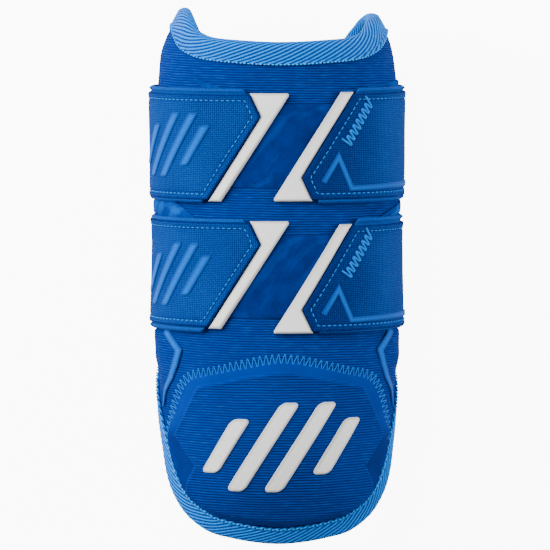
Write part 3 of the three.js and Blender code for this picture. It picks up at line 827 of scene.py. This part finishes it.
SHELL_KNIT = ribbed_knit("shell_ribbed_knit", colour(4, 52, 141), colour(0, 22, 80),
                         colour(8, 92, 190), pitch=1.15, lean=0.015)
CAP_KNIT = ribbed_knit("cap_ribbed_knit", colour(3, 52, 141), colour(0, 23, 82),
                       colour(8, 84, 180), pitch=1.2, smooth_band_and_shade=True)
TAB_CLOTH = woven_cloth("tab_weave", colour(6, 77, 161), colour(0, 28, 92),
                        across=0.95, along=0.85, depth=0.3, contrast=0.95, edged=True)
ELASTIC = woven_cloth("strap_elastic", colour(6, 78, 166), colour(0, 34, 104),
                      across=0.9, along=0.7, depth=0.22)
LINING_CLOTH = woven_cloth("lining_mesh", colour(2, 42, 120), colour(0, 18, 64),
                           across=1.1, along=1.1, depth=0.2)
LOOP_PILE = brushed_pile("loop_pile", colour(1, 42, 122), colour(0, 26, 88), colour(4, 64, 154))
SIDE_PILE = brushed_pile("side_loop_pile", colour(2, 64, 148), colour(0, 36, 106), colour(10, 92, 184))
TAPE_CLOTH = tape_cloth("corded_tape", colour(0, 92, 188), colour(0, 36, 110), colour(2, 138, 238))
TIP_RUBBER = moulded("tip_rubber", colour(252, 251, 249), colour(238, 237, 235),
                     roughness=0.5, grain=0.5)
BADGE_RUBBER = moulded("badge_rubber", colour(244, 243, 240), colour(228, 227, 225),
                       roughness=0.6, grain=0.5)
LIGHT_FILM = moulded("light_film", colour(0, 97, 192), colour(0, 80, 174),
                     roughness=0.5, grain=0.45, specular=0.08, tint=colour(40, 160, 255))
THREAD = spun_thread("light_thread", colour(1, 96, 192), colour(8, 130, 226))
EDGE_THREAD = spun_thread("edge_thread", colour(14, 128, 222), colour(60, 176, 252))
DARK_THREAD = spun_thread("blue_thread", colour(4, 98, 190), colour(20, 136, 226))


def dress(obj, material, slot, *nodes):
    obj.data.materials.clear()
    obj.data.materials.append(material)
    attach(obj, "root")
    if nodes:
        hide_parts(*nodes)
    return obj


def sew(name, girth, y, height, tree, thread, slot, **sizes):
    """A seam of thread that a tree grows along a line of girths and levels."""
    points = raised(girth, y, height)
    run = np.gradient(points, axis=0)
    run /= np.linalg.norm(run, axis=1, keepdims=True)
    edges = [(i, i + 1) for i in range(len(points) - 1)]
    path = new_object(name, points, edges, [], side=np.cross(surface(girth, y)[1], run))
    grown(path, tree, material=thread, **{key: size * MM for key, size in sizes.items()})
    dress(path, thread, slot)


# The padded wall

def wall_grid(columns, rows):
    """Girths and levels all over the wall, and how far in from its edge they are."""
    t = np.linspace(-1, 1, columns)
    girth = WING_GIRTH * (0.55 * t + 0.45 * np.sin(t * QUARTER))
    low = lower_edge(girth)
    high = upper_edge(girth)
    y = mix(low, high, np.linspace(0, 1, rows)[:, None])
    girth = np.broadcast_to(girth, y.shape)
    return girth, y, least(y - low, high - y, WING_GIRTH - np.abs(girth))


def side_swell(girth, y):
    """How far the padding swells out at the sides where no strap holds it in."""
    between = SWELL_BETWEEN * hump(y, STRAP_GAP_Y, 3.9, 6)
    below = SWELL_BELOW * ease(-46, -36, y) * ease(-23.5, -26, y)
    return (between + below) * ease(52, 78, degrees_at(girth))


def shell_piece():
    girth, y, edge = wall_grid(190, 260)
    free = ease(6, 16, edge)
    wrinkles = soft_waves(girth, y * 2.2, 11, 46) * 0.16 + soft_waves(girth, y, 5, 90) * 0.2
    wing = ease(74, 84, np.abs(girth)) * ease(-20, -30, y)
    creases = soft_waves(girth * 1.2, y * 0.9 + girth * 0.5, 23, 15, 7) * 0.22 * wing
    height = np.clip((wrinkles + creases) * free - 0.12 * free, -1.2, 0.24)
    height = height + side_swell(girth, y) - 0.35 * ease(8.2, 6.8, edge)
    inner = raised(girth, y, -WALL_OUTER)
    shell = sheet_object("shell_cover", raised(girth, y, height), inner, girth, y)
    dress(shell, SHELL_KNIT, "shell_knit", "shell")


def lining_piece():
    girth, y, edge = wall_grid(150, 190)
    top = -WALL_OUTER - CLEARANCE
    bottom = top - WALL_INNER * (1 - LINING_THIN * ease(CUFF_FROM, CUFF_TO, y))
    swell = 0.5 * ease(8, 20, edge) + soft_waves(girth, y, 31, 40) * 0.12 * ease(8, 16, edge)
    inner = raised(girth, y, bottom - np.clip(swell, -0.2, 0.9))
    lining = sheet_object("lining_pad", raised(girth, y, top), inner, girth, y)
    dress(lining, LINING_CLOTH, "lining_fabric", "lining")


# The edge tape

def edge_loop():
    """The way along the wall's edge, anticlockwise from the front, with its girths and levels."""
    girth = WING_GIRTH * np.sin(np.linspace(-1, 1, 1600)[:-1] * QUARTER)
    side = np.linspace(0, 1, 300)[:-1]
    wing = np.full(side.size, WING_GIRTH)
    low = lower_edge(WING_GIRTH)
    right = mix(low, upper_edge(WING_GIRTH), side)
    left = mix(upper_edge(-WING_GIRTH), low, side)
    girths = np.concatenate([girth, wing, -girth, -wing, girth[:1]])
    levels = np.concatenate([lower_edge(girth), right, upper_edge(-girth), left])
    levels = np.append(levels, levels[0])
    return ways_along(skin(girths, levels)), girths, levels


EDGE_WAYS, EDGE_GIRTHS, EDGE_LEVELS = edge_loop()
EDGE_LENGTH = EDGE_WAYS[-1]
TAPE_CORDS = int(round(EDGE_LENGTH / CORD_PITCH))


def edge_at(way):
    way = way % EDGE_LENGTH
    return np.interp(way, EDGE_WAYS, EDGE_GIRTHS), np.interp(way, EDGE_WAYS, EDGE_LEVELS)


def edge_frames(way):
    """Girth and level of places on the wall's edge, and the way out of the wall there."""
    girth, y = edge_at(way)
    run = skin(*edge_at(way + PROBE)) - skin(*edge_at(way - PROBE))
    out = np.cross(run, surface(girth, y)[1])
    out /= np.linalg.norm(out, axis=1, keepdims=True)
    return girth, y, out


def inset_places(girth, y, out, distance):
    steps = 4
    for _ in range(steps):
        _, _, around, along = surface(girth, y)
        girth = girth - distance / steps * (out * around).sum(1) / (around ** 2).sum(1)
        y = y - distance / steps * (out * along).sum(1) / (along ** 2).sum(1)
    return girth, y


def edge_points(way, depth, height, reach):
    """Points beside the wall's edge: so deep in from it, so high over it and so far past it."""
    girth, y, out = edge_frames(way)
    if height < 0:
        height = height * (1 - CUFF_THIN * ease(CUFF_FROM, CUFF_TO, y))[:, None]
    if depth:
        girth, y = inset_places(girth, y, out, depth)
    point, up, _, _ = surface(girth, y)
    return point + up * height + out * reach


def tape_columns():
    """Lines along the tape: depth from the wall's edge, height, reach past it, share of relief."""
    top = TAPE_TOP
    low = TAPE_LOW
    front = [
        (7.0, top - 0.8, 0, 0), (7.15, top - 0.45, 0, 0.6), (7.05, top - 0.12, 0, 1),
        (6.6, top + 0.04, 0, 1), (6.1, top - 0.06, 0, 1), (5.65, top - 0.34, 0, 0.5),
        (5.2, top - 0.08, 0, 1), (4.6, top, 0, 1), (3.5, top, 0, 1), (2.4, top, 0, 1),
        (1.2, top, 0, 1), (0, top, 0, 1),
    ]
    rim = [(0, (top + low) / 2 + (top - low) / 2 * math.cos(angle), TAPE_REACH * math.sin(angle), 1)
           for angle in np.linspace(0, math.pi, 12)[1:-1]]
    behind = [(0, low, 0, 1), (TAPE_INNER / 2, low, 0, 1), (TAPE_INNER, low, 0, 1),
              (TAPE_INNER + 0.3, low + 0.4, 0, 0)]
    hidden = [(TAPE_INNER, low + TAPE_THICKNESS, 0, 0), (0, low + TAPE_THICKNESS, TAPE_SLACK, 0),
              (0, top - TAPE_THICKNESS, TAPE_SLACK, 0), (6.9, top - TAPE_THICKNESS, 0, 0)]
    return np.array(front + rim + behind, float), np.array(hidden, float)


def tape_piece():
    """The folded tape. Its grid slants with its cords, and its hidden inner side is straight."""
    shown, hidden = tape_columns()
    columns = np.concatenate([shown, hidden])
    count = len(columns)
    stations = TAPE_CORDS * CORD_STEPS
    step = EDGE_LENGTH / stations
    across = ways_along(np.stack([shown[:, 2] - shown[:, 0], shown[:, 1]], 1))
    turned = int(round(TAPE_SLANT * across[-1] / step))
    behind = np.append(TAPE_SLANT * across[:-1], np.full(len(hidden) + 1, turned * step))
    across = np.append(across, np.full(len(hidden), across[-1]))
    ways = (np.arange(stations) * step)[:, None] - behind
    points = [edge_points(way, *column[:3]) for way, column in zip(ways.T, columns)]
    points = np.stack(points, axis=1).reshape(-1, 3)
    i = np.arange(stations)
    closing = np.stack([
        (i - turned) % stations * count, (i + 1 - turned) % stations * count,
        (i + 1) % stations * count + count - 1, i * count + count - 1,
    ], -1)
    quads = np.concatenate([grid_quads(stations, count, True), closing])
    cloth = np.stack(np.broadcast_arrays(ways, across, columns[:, 3]), -1).reshape(-1, 3)
    tape = new_object("corded_edge_tape", points, [], face_outwards(points, quads), cloth=cloth)
    grown(tape, CORDS, pitch=EDGE_LENGTH / TAPE_CORDS, height=CORD_RELIEF * MM, slant=TAPE_SLANT,
          material=TAPE_CLOTH)
    dress(tape, TAPE_CLOTH, "tape_twill", "edge_tape")


def tape_stitches():
    """The light thread that catches the tape's inner edge twice at every cord."""
    girth, y, out = edge_frames(np.linspace(0, EDGE_LENGTH, 1800))
    on_cap = ease(-40, -70, y)
    girth, y = inset_places(girth, y, out, TAPE_DEPTH + 0.05 - 0.15 * on_cap)
    sew("tape_edge_stitches", girth, y, TAPE_TOP + 0.36 + 0.1 * on_cap, DASHES, EDGE_THREAD,
        "tape_twill", pitch=EDGE_LENGTH / TAPE_CORDS / 2, dash_length=1.25, thread_radius=0.38)


# The elbow cap

def cap_seam(x):
    across = np.abs(x)
    shoulder = CAP_APEX - CAP_SHOULDER_DROP * ease(0, CAP_SHOULDER_X * 1.15, across)
    side = np.clip((across - CAP_SHOULDER_X) / (CAP_SIDE_X - CAP_SHOULDER_X), 0, 1)
    return mix(shoulder, CAP_SIDE_LOW, side ** CAP_SEAM_TURN)


def depth_inside(x, y, outline):
    """Signed distance from a mirrored outline, positive inside it."""
    px = np.abs(x)
    nearest = np.full(px.shape, 1e9)
    inside = np.zeros(px.shape, bool)
    closed = np.vstack([outline, outline[::-1] * (-1, 1)])
    for a, b in zip(closed, np.roll(closed, -1, axis=0)):
        run = b - a
        t = np.clip(((px - a[0]) * run[0] + (y - a[1]) * run[1]) / max(float(run @ run), 1e-9), 0, 1)
        nearest = np.minimum(nearest, np.hypot(px - a[0] - t * run[0], y - a[1] - t * run[1]))
        if a[1] != b[1]:
            crosses = (a[1] > y) != (b[1] > y)
            inside ^= crosses & (px < a[0] + (y - a[1]) / run[1] * run[0])
    return np.where(inside, nearest, -nearest)


def cap_relief(girth, y):
    """Height of the cap's face over the shell, and how far the cloth is pressed smooth, with painted shade
    added in the hollows outside the raised middle's lower sides.
    """
    x = np.abs(skin(girth, y)[..., 0])
    depth = depth_inside(x, y, PLATEAU)
    slope = 0.8 * ease(-6.5, -0.9, depth)
    step = 1.35 * ease(-0.9, 0.7, depth)
    lip = 0.22 * hump(depth, 0.9, 0.8)
    crown = 1.0 * ease(0, 30, depth)
    notch = 0.7 * hump(x, 43.5, 4.5) * hump(y, -90, 6) * ease(0.5, -1, depth)
    flat = ease(0.3, -0.4, depth) * (1 - 0.75 * ease(-5.5, -8.5, depth))
    # Painted shade in the hollows outside the raised middle's lower sides, next to the tape.
    hollow_shade = ease(-66, -74, y + 0.35 * (x - 46)) * ease(0.2, -0.3, depth) * ease(30, 34, x)
    return CLEARANCE + CAP_THIN + slope + step + lip + crown - notch, flat + 1.8 * hollow_shade


def cap_bar_base(girth, y):
    return cap_relief(girth, y)[0] - 0.1


def cap_piece():
    limit = float(girth_across(CAP_SIDE_X, CAP_SIDE_LOW))
    t = np.linspace(-1, 1, 230)
    girth = limit * (0.7 * t + 0.3 * np.sin(t * QUARTER))
    lean = np.hypot(1, np.gradient(lower_edge(girth), girth))
    low = lower_edge(girth) + (TAPE_DEPTH + 0.2) * lean
    high = np.maximum(cap_seam(skin(girth, CAP_SIDE_LOW)[..., 0]), low + 1.0)
    y = mix(low, high, rounded_steps(204, 3, 0.012)[:, None])
    girth = np.broadcast_to(girth, y.shape)
    # The second value is the pressed-smooth mask with the painted shade of the hollows added.
    height, flat = cap_relief(girth, y)
    edge = least(high - y, limit - np.abs(girth))
    sewn = mix(0.2, 1, ease(0, 5, y - low))
    height = CLEARANCE + (height - CLEARANCE) * ease(-0.2, 1.4, edge) * sewn
    height = height + soft_waves(girth, y, 41, 30) * 0.05 * ease(0, 3, edge)
    cap = sheet_object("elbow_cap_cover", raised(girth, y, height), raised(girth, y, CLEARANCE),
                       girth, y, sharp_angle=0, flat=np.tile(flat.ravel(), 2))
    dress(cap, CAP_KNIT, "cap_knit", "elbow_cap")


def cap_zigzag():
    """The light zigzag thread that joins the cap to the shell."""
    across = np.linspace(CAP_SIDE_X - 0.4, 0.4 - CAP_SIDE_X, 179)[::-1]
    girth, y = resample(np.stack([girth_across(across, CAP_SIDE_LOW), cap_seam(across)], 1), 0.4)
    sew("cap_zigzag_seam", girth, y, CLEARANCE + 1.15, ZIGZAG, THREAD, "light_film",
        pitch=2.8, width=5.8, thread_radius=0.17, lean=0.5, bend=0.2)


# Straps, tabs and tips

def tab_front_x(level):
    """Where a left tab's pointed end lies across the guard, at a level from the strap's middle."""
    slope = np.where(level > TAB_TIP_LEVEL, TAB_NOSE_SLOPE, TAB_SLANT)
    return -TAB_TIP_X - np.abs(level - TAB_TIP_LEVEL) * slope


def end_line(middle, side, x_of):
    """An edge's girth by level, from its x on a left end. A right end is a left one turned over."""
    def girth(y):
        level = (y - middle) * -side
        return float(-side * girth_across(x_of(level), middle + level))
    return girth


def end_levels(middle, side, levels):
    """Levels given for a left end, rising, for either end. A right end is a left one turned over."""
    return middle + (levels if side < 0 else -levels[::-1])


def strap_piece(name, middle, node):
    half = STRAP_WIDTH / 2
    levels = half * np.sin(np.linspace(-1, 1, 41) * QUARTER)
    ends = girth_across(tab_front_x(levels), middle + levels) - 2.0
    starts = -(girth_across(tab_front_x(-levels), middle + levels) - 2.0) - 2 * FULL_GIRTH
    ends = ends[:, None]
    starts = starts[:, None]
    girth = mix(starts, ends, rounded_steps(330, 3, 0.002))
    y = np.broadcast_to((middle + levels)[:, None], girth.shape)
    wrapped = np.where(girth < -FULL_GIRTH, girth + 2 * FULL_GIRTH, girth)
    across = half - np.abs(y - middle)
    inside = least(across, girth - starts, ends - girth)
    edge = rounding(inside / 0.7)
    base = mix(OVER_PANELS, OVER_TAPE, ease(STRAP_LIFT_FROM, STRAP_LIFT_TO, degrees_at(wrapped)))
    beside_tab = ease(TAB_REACH + 6, TAB_REACH - 4, np.abs(wrapped))
    lip = mix(0.22, 1.15, beside_tab) * hump(across, 1.05, 0.75)
    upper = raised(wrapped, y, base + STRAP_THICKNESS - 0.55 * edge + lip)
    lower = raised(wrapped, y, base + 0.5 * edge)
    upper[..., 2] = np.maximum(upper[..., 2], 0.5 * edge)
    lower[..., 2] = np.maximum(lower[..., 2], STRAP_THICKNESS - 0.4 * edge)
    dress(sheet_object(name, upper, lower, girth, y), ELASTIC, "elastic", node)


def tab_piece(name, middle, side, node):
    """A tab's face: a sunk line where it is stitched and a soft roll outside it."""
    half = STRAP_WIDTH / 2 - TAB_LIP
    near = rounded_steps(78, 3, 0.012)
    below = -half + (TAB_TIP_LEVEL + half) * near[near < 0.995]
    above = np.append(np.linspace(TAB_TIP_LEVEL, half, 18)[:-1], half - np.array([0.5, 0.2, 0.0]))
    levels = np.unique(np.round(np.append(below, above), 4))

    def lift(girth, y, inside):
        line = -0.3 * hump(inside, STITCH_INSET, 0.75)
        roll = 0.18 * hump(inside, STITCH_INSET * 0.4, STITCH_INSET * 0.35)
        return line + roll + soft_waves(girth, y, 71 + int(middle), 26) * 0.06

    ends = (end_line(middle, side, tab_front_x), lambda y: side * TAB_REACH)
    levels = end_levels(middle, side, levels)
    tab = level_plate(name, levels, ends, TAB_HEIGHT, TAB_THICKNESS, 0.55, 120, lift)
    dress(tab, TAB_CLOTH, "tab_fabric", node)


def tip_piece(name, middle, side, node):
    """A white pull tip: its inner edge follows the tab's point, its outer edge is straight."""
    half = STRAP_WIDTH / 2 - TIP_END_INSET
    rows = np.unique(np.round(np.concatenate([
        -half + np.array([0.0, 0.12, 0.3, 0.6]), np.linspace(-half + 1, TAB_TIP_LEVEL, 34),
        np.linspace(TAB_TIP_LEVEL, half - TIP_ROUND, 10),
        half - TIP_ROUND * (1 - np.sin(np.linspace(0, QUARTER, 9))),
    ]), 4))

    def inner_x(level):
        return tab_front_x(level) + 0.25

    def outer_x(level):
        rounded = TIP_ROUND * rounding((half - level) / TIP_ROUND)
        return -TAB_TIP_X + (level - TAB_TIP_LEVEL) * TIP_SLANT + TIP_BAR_WIDTH - rounded

    ends = (end_line(middle, side, inner_x), end_line(middle, side, outer_x))
    levels = end_levels(middle, side, rows)
    tip = level_plate(name, levels, ends, OVER_PANELS, TIP_THICKNESS, 1.5, 34)
    dress(tip, TIP_RUBBER, "tip_rubber", node)


def tab_stitches(name, middle, side):
    """The dashed line round a tab, a little in from its edge."""
    half = STRAP_WIDTH / 2 - TAB_LIP - STITCH_INSET + 0.4
    slant = math.hypot(1, TAB_SLANT) * STITCH_INSET
    nose = math.hypot(1, TAB_NOSE_SLOPE) * STITCH_INSET
    drop = (slant - nose) / (TAB_SLANT + TAB_NOSE_SLOPE)
    corner = TAB_TIP_LEVEL + drop
    corner_x = -TAB_TIP_X - slant + drop * TAB_SLANT
    marks = [(corner_x - (half - corner) * TAB_NOSE_SLOPE, half), (corner_x, corner),
             (corner_x - (corner + half) * TAB_SLANT, -half)]
    line = [(-side * float(girth_across(x, middle + level)), middle + level * -side) for x, level in marks]
    far = side * (TAB_REACH - 1.5)
    girth, y = resample([(far, line[0][1]), *line, (far, line[-1][1])], 0.5)
    sew(name, girth, y, TAB_TOP - 0.16, DASHES, DARK_THREAD, "tab_fabric",
        pitch=2.65, dash_length=2.0, thread_radius=0.29)


def bartack(name, middle):
    """The thick zigzag that holds a right tab's core."""
    start = (girth_across(38.5, middle + 19.5), middle + 20.3)
    finish = (girth_across(28.4, middle), middle + 1.0)
    girth, y = resample([start, finish], 0.4)
    sew(name, girth, y, TAB_TOP + 0.3, ZIGZAG, THREAD, "light_film",
        pitch=2.75, width=7.2, thread_radius=0.55, lean=1.5, bend=0.4)


def front_panel(name, middle, node):
    wide, high = FRONT_PILE_HALF
    levels = middle + np.linspace(-high, high, 30)
    ends = (lambda y: -wide, lambda y: wide)
    panel = level_plate(name, levels, ends, CLEARANCE, PILE_THICKNESS, 0.4, 60)
    dress(panel, LOOP_PILE, "loop_pile", node)


# A side panel's slanted front edge, as x and its growth by level: over the upper strap and in
# the gap between the straps
PANEL_TOP = 86.2
PANEL_SLANTS = {-1: ((20.5, 2.75), (43.0, 1.25)), 1: ((24.0, 6.4), (51.3, 1.4))}


def side_panel(name, side, node):
    """The loop panel under the straps' ends. It shows over the upper strap and in the gap."""
    levels = np.concatenate([np.linspace(-15, 86, 70), np.linspace(86.4, 92.6, 24)])
    if side > 0:
        levels = levels[levels < 90.8]
    over, between = PANEL_SLANTS[side]

    def across(x, growth, y, start):
        return side * float(girth_across(x + (y - start) * growth, y))

    def front(y):
        if y > PANEL_TOP:
            return across(*over, y, PANEL_TOP)
        if abs(y - STRAP_GAP_Y) < 5.5:
            return across(*between, y, STRAP_GAP_Y)
        return side * 51.0

    def far(y):
        return across(35.0, 0.6, y, PANEL_TOP) if y > PANEL_TOP and side < 0 else side * 96.0

    def base(girth, y):
        return CLEARANCE + side_swell(girth, y)

    panel = level_plate(name, levels, (front, far), base, PILE_THICKNESS, 0.4, 30)
    dress(panel, SIDE_PILE, "loop_pile", node)


# Light film and the badge bars

def film_line(name, path, widths, base, thickness, node):
    """A raised ribbon with mitred bends along a path of girths and levels."""
    path = np.asarray(path, float)
    runs = np.diff(path, axis=0)
    runs /= np.linalg.norm(runs, axis=1, keepdims=True)
    after = np.vstack([runs, runs[-1:]])
    both = np.vstack([runs[:1], runs]) + after
    both /= np.linalg.norm(both, axis=1, keepdims=True)
    stretch = 1 / np.maximum(0.5, (both * after).sum(1))
    side = both[:, ::-1] * (-1, 1) * (stretch * widths / 2)[:, None]
    count = len(runs)
    steps = np.linspace(0, count, 13 * count + 1)
    steps = np.unique(np.concatenate([steps, [0.01, 0.03, count - 0.03, count - 0.01]]))
    marks = np.arange(count + 1)
    centre, swing = (np.array([np.interp(steps, marks, line) for line in table.T])[..., None]
                     for table in (path, side))
    share = np.array([-1, -0.96, -0.86, -0.7, -0.35, 0, 0.35, 0.7, 0.86, 0.96, 1.0])
    girth, y = centre + swing * share
    way = np.interp(steps, marks, ways_along(path))[:, None]
    inside = least((1 - np.abs(share)) * np.hypot(*swing), way, way[-1] - way)
    ribbon = bevelled(name, girth, y, inside, base, thickness, 0.45)
    dress(ribbon, LIGHT_FILM, "light_film", node)


def tab_line(name, middle, node):
    rows = ((1.96, -0.63, 1), (2.67, -0.18, 1), (3.28, -0.73, 1), (4.95, -0.71, 1), (5.75, -0.7, 1.12))
    path = []
    for across, level, stretch in rows:
        y = middle + level * STRAP_WIDTH / 2
        path.append((float(girth_across(TAB_TIP_X * across, y)) * stretch, y))
    film_line(name, path, np.full(len(path), 2.6), TAB_TOP, FILM_THICKNESS, node)


def side_film_base(girth, y):
    return side_swell(girth, y) + 0.1


def side_line(name, side, node):
    rows = np.array([
        (73, -0.09, 1), (67, 0.01, 1), (56.3, 0.175, 1), (59.5, 0.3, 1), (64, 0.415, 0.95),
        (71.5, 0.54, 0.7), (76, 0.7, 0.3),
    ])
    girths = side * girth_at(np.radians(rows[:, 0]))
    levels = mix(STRAP_Y["lower"] - STRAP_WIDTH / 2, CAP_SIDE_LOW, rows[:, 1])
    film_line(name, np.stack([girths, levels], 1), 4.0 * rows[:, 2], side_film_base, 0.6, node)


def badge_bars(prefix, centre, sizes, base, thickness, bevel, material, slot):
    """Four slanted bars with round ends, longest in the middle: width, pitch, long and short."""
    width, pitch, long, short = sizes
    curve = width * 0.3
    end = curve * (1 - np.cos(np.linspace(0, QUARTER, 9)))
    for k, length in enumerate((short, long, long, short)):
        half = length / 2
        straight = np.linspace(curve - half, half - curve, 34)[1:-1]
        levels = centre[1] + np.concatenate([end - half, straight, (half - end)[::-1]])

        def edge_of(side, half=half, middle=centre[0] + (k - 1.5) * pitch):
            def girth(y):
                level = y - centre[1]
                reach = width / 2 - curve * rounding((half - abs(level)) / curve)
                return middle + level * BAR_SLANT + side * reach
            return girth

        bar = level_plate(f"{prefix}_{k + 1}_face", levels, (edge_of(-1), edge_of(1)), base,
                          thickness, bevel, 16)
        dress(bar, material, slot, f"{prefix}_{k + 1}")


shell_piece()
lining_piece()
tape_piece()
tape_stitches()
cap_piece()
cap_zigzag()
for word, side in SIDES.items():
    side_panel(f"{word}_loop_pile", side, f"{word}_loop_panel")
for word, side in SIDES.items():
    side_line(f"{word}_side_film", side, f"{word}_side_line")
for strap, strap_y in STRAP_Y.items():
    front_panel(f"{strap}_front_pile", strap_y, f"{strap}_front_panel")
    strap_piece(f"{strap}_elastic", strap_y, f"{strap}_strap")
    for word, side in SIDES.items():
        end_y = strap_y - END_DROPS[strap, word]
        tab_piece(f"{strap}_{word}_tab_face", end_y, side, f"{strap}_{word}_tab")
        tip_piece(f"{strap}_{word}_pull_tip", end_y, side, f"{strap}_{word}_tip")
        tab_stitches(f"{strap}_{word}_stitches", end_y, side)
    tab_line(f"{strap}_tab_film", end_y, f"{strap}_tab_line")
    bartack(f"{strap}_bartack", end_y)
    badge_bars(f"{strap}_tab_bar", (TAB_BARS_GIRTH, strap_y), TAB_BARS, TAB_TOP,
               FILM_THICKNESS, 0.4, LIGHT_FILM, "light_film")
badge_bars("cap_bar", (0.0, CAP_BARS_Y), CAP_BARS, cap_bar_base, CAP_BAR_THICKNESS, 0.7,
           BADGE_RUBBER, "white_rubber")


# Floor, camera and light

def pale_floor():
    """A floor that looks plain white to the camera and throws little light on the guard."""
    size = 3.0
    mesh = bpy.data.meshes.new("floor")
    corners = [(-size, -size, 0), (size, -size, 0), (size, size, 0), (-size, size, 0)]
    mesh.from_pydata(corners, [], [(0, 1, 2, 3)])
    material, inputs = new_material("pale_floor", 0.9)
    feed(inputs["Base Color"], (0.86, 0.86, 0.87, 1.0))
    feed(inputs["Emission Color"], (1.0, 1.0, 1.0, 1.0))
    seen = add(material.node_tree, "ShaderNodeLightPath")[0]
    feed(inputs["Emission Strength"], seen * 9.0 + 0.15)
    mesh.materials.append(material)
    linked("floor", mesh)


def place_camera():
    """Over the guard's front, a few degrees towards its cuff and its left, through a long lens."""
    target = Vector((-0.93, float(SHIFT[1]), WIDE_LEVEL)) * MM
    distance = 2.5
    photo_pixels = 550
    pixel = 0.465 * MM
    tilt = math.radians(4.0)
    swing = math.radians(-2.4)
    back = Vector((math.sin(swing), math.sin(tilt), math.cos(tilt) * math.cos(swing))).normalized()
    camera = bpy.data.cameras.new("camera")
    camera.sensor_width = 36.0
    camera.sensor_fit = "HORIZONTAL"
    camera.lens = camera.sensor_width * distance / (photo_pixels * pixel)
    camera.clip_end = 20.0
    obj = linked("camera", camera)
    obj.location = target + back * distance
    right = Vector((0, 1, 0)).cross(back).normalized()
    rotation = np.array([right, back.cross(right), back]).T
    obj.rotation_euler = Matrix(rotation.tolist()).to_euler()
    bpy.context.scene.camera = obj


def soft_light(name, location, size, power):
    light = bpy.data.lights.new(name, "AREA")
    light.shape = "RECTANGLE"
    light.size, light.size_y = size
    light.energy = power
    obj = linked(name, light)
    obj.location = location
    aim = Vector((0, 0, 0.04)) - Vector(location)
    obj.rotation_euler = aim.to_track_quat("-Z", "Y").to_euler()


def studio():
    world = bpy.data.worlds.new("studio")
    world.use_nodes = True
    background = world.node_tree.nodes["Background"]
    feed(background.inputs[0], (0.95, 0.97, 1.0, 1.0))
    feed(background.inputs[1], 0.35)
    bpy.context.scene.world = world
    soft_light("left_soft", (-1.1, 0.35, 0.55), (0.6, 0.9), 26)
    soft_light("right_soft", (1.15, 0.15, 0.45), (0.6, 0.8), 15)
    soft_light("front_soft", (-0.4, 0.85, 1.2), (0.5, 0.5), 17)


pale_floor()
place_camera()
studio()
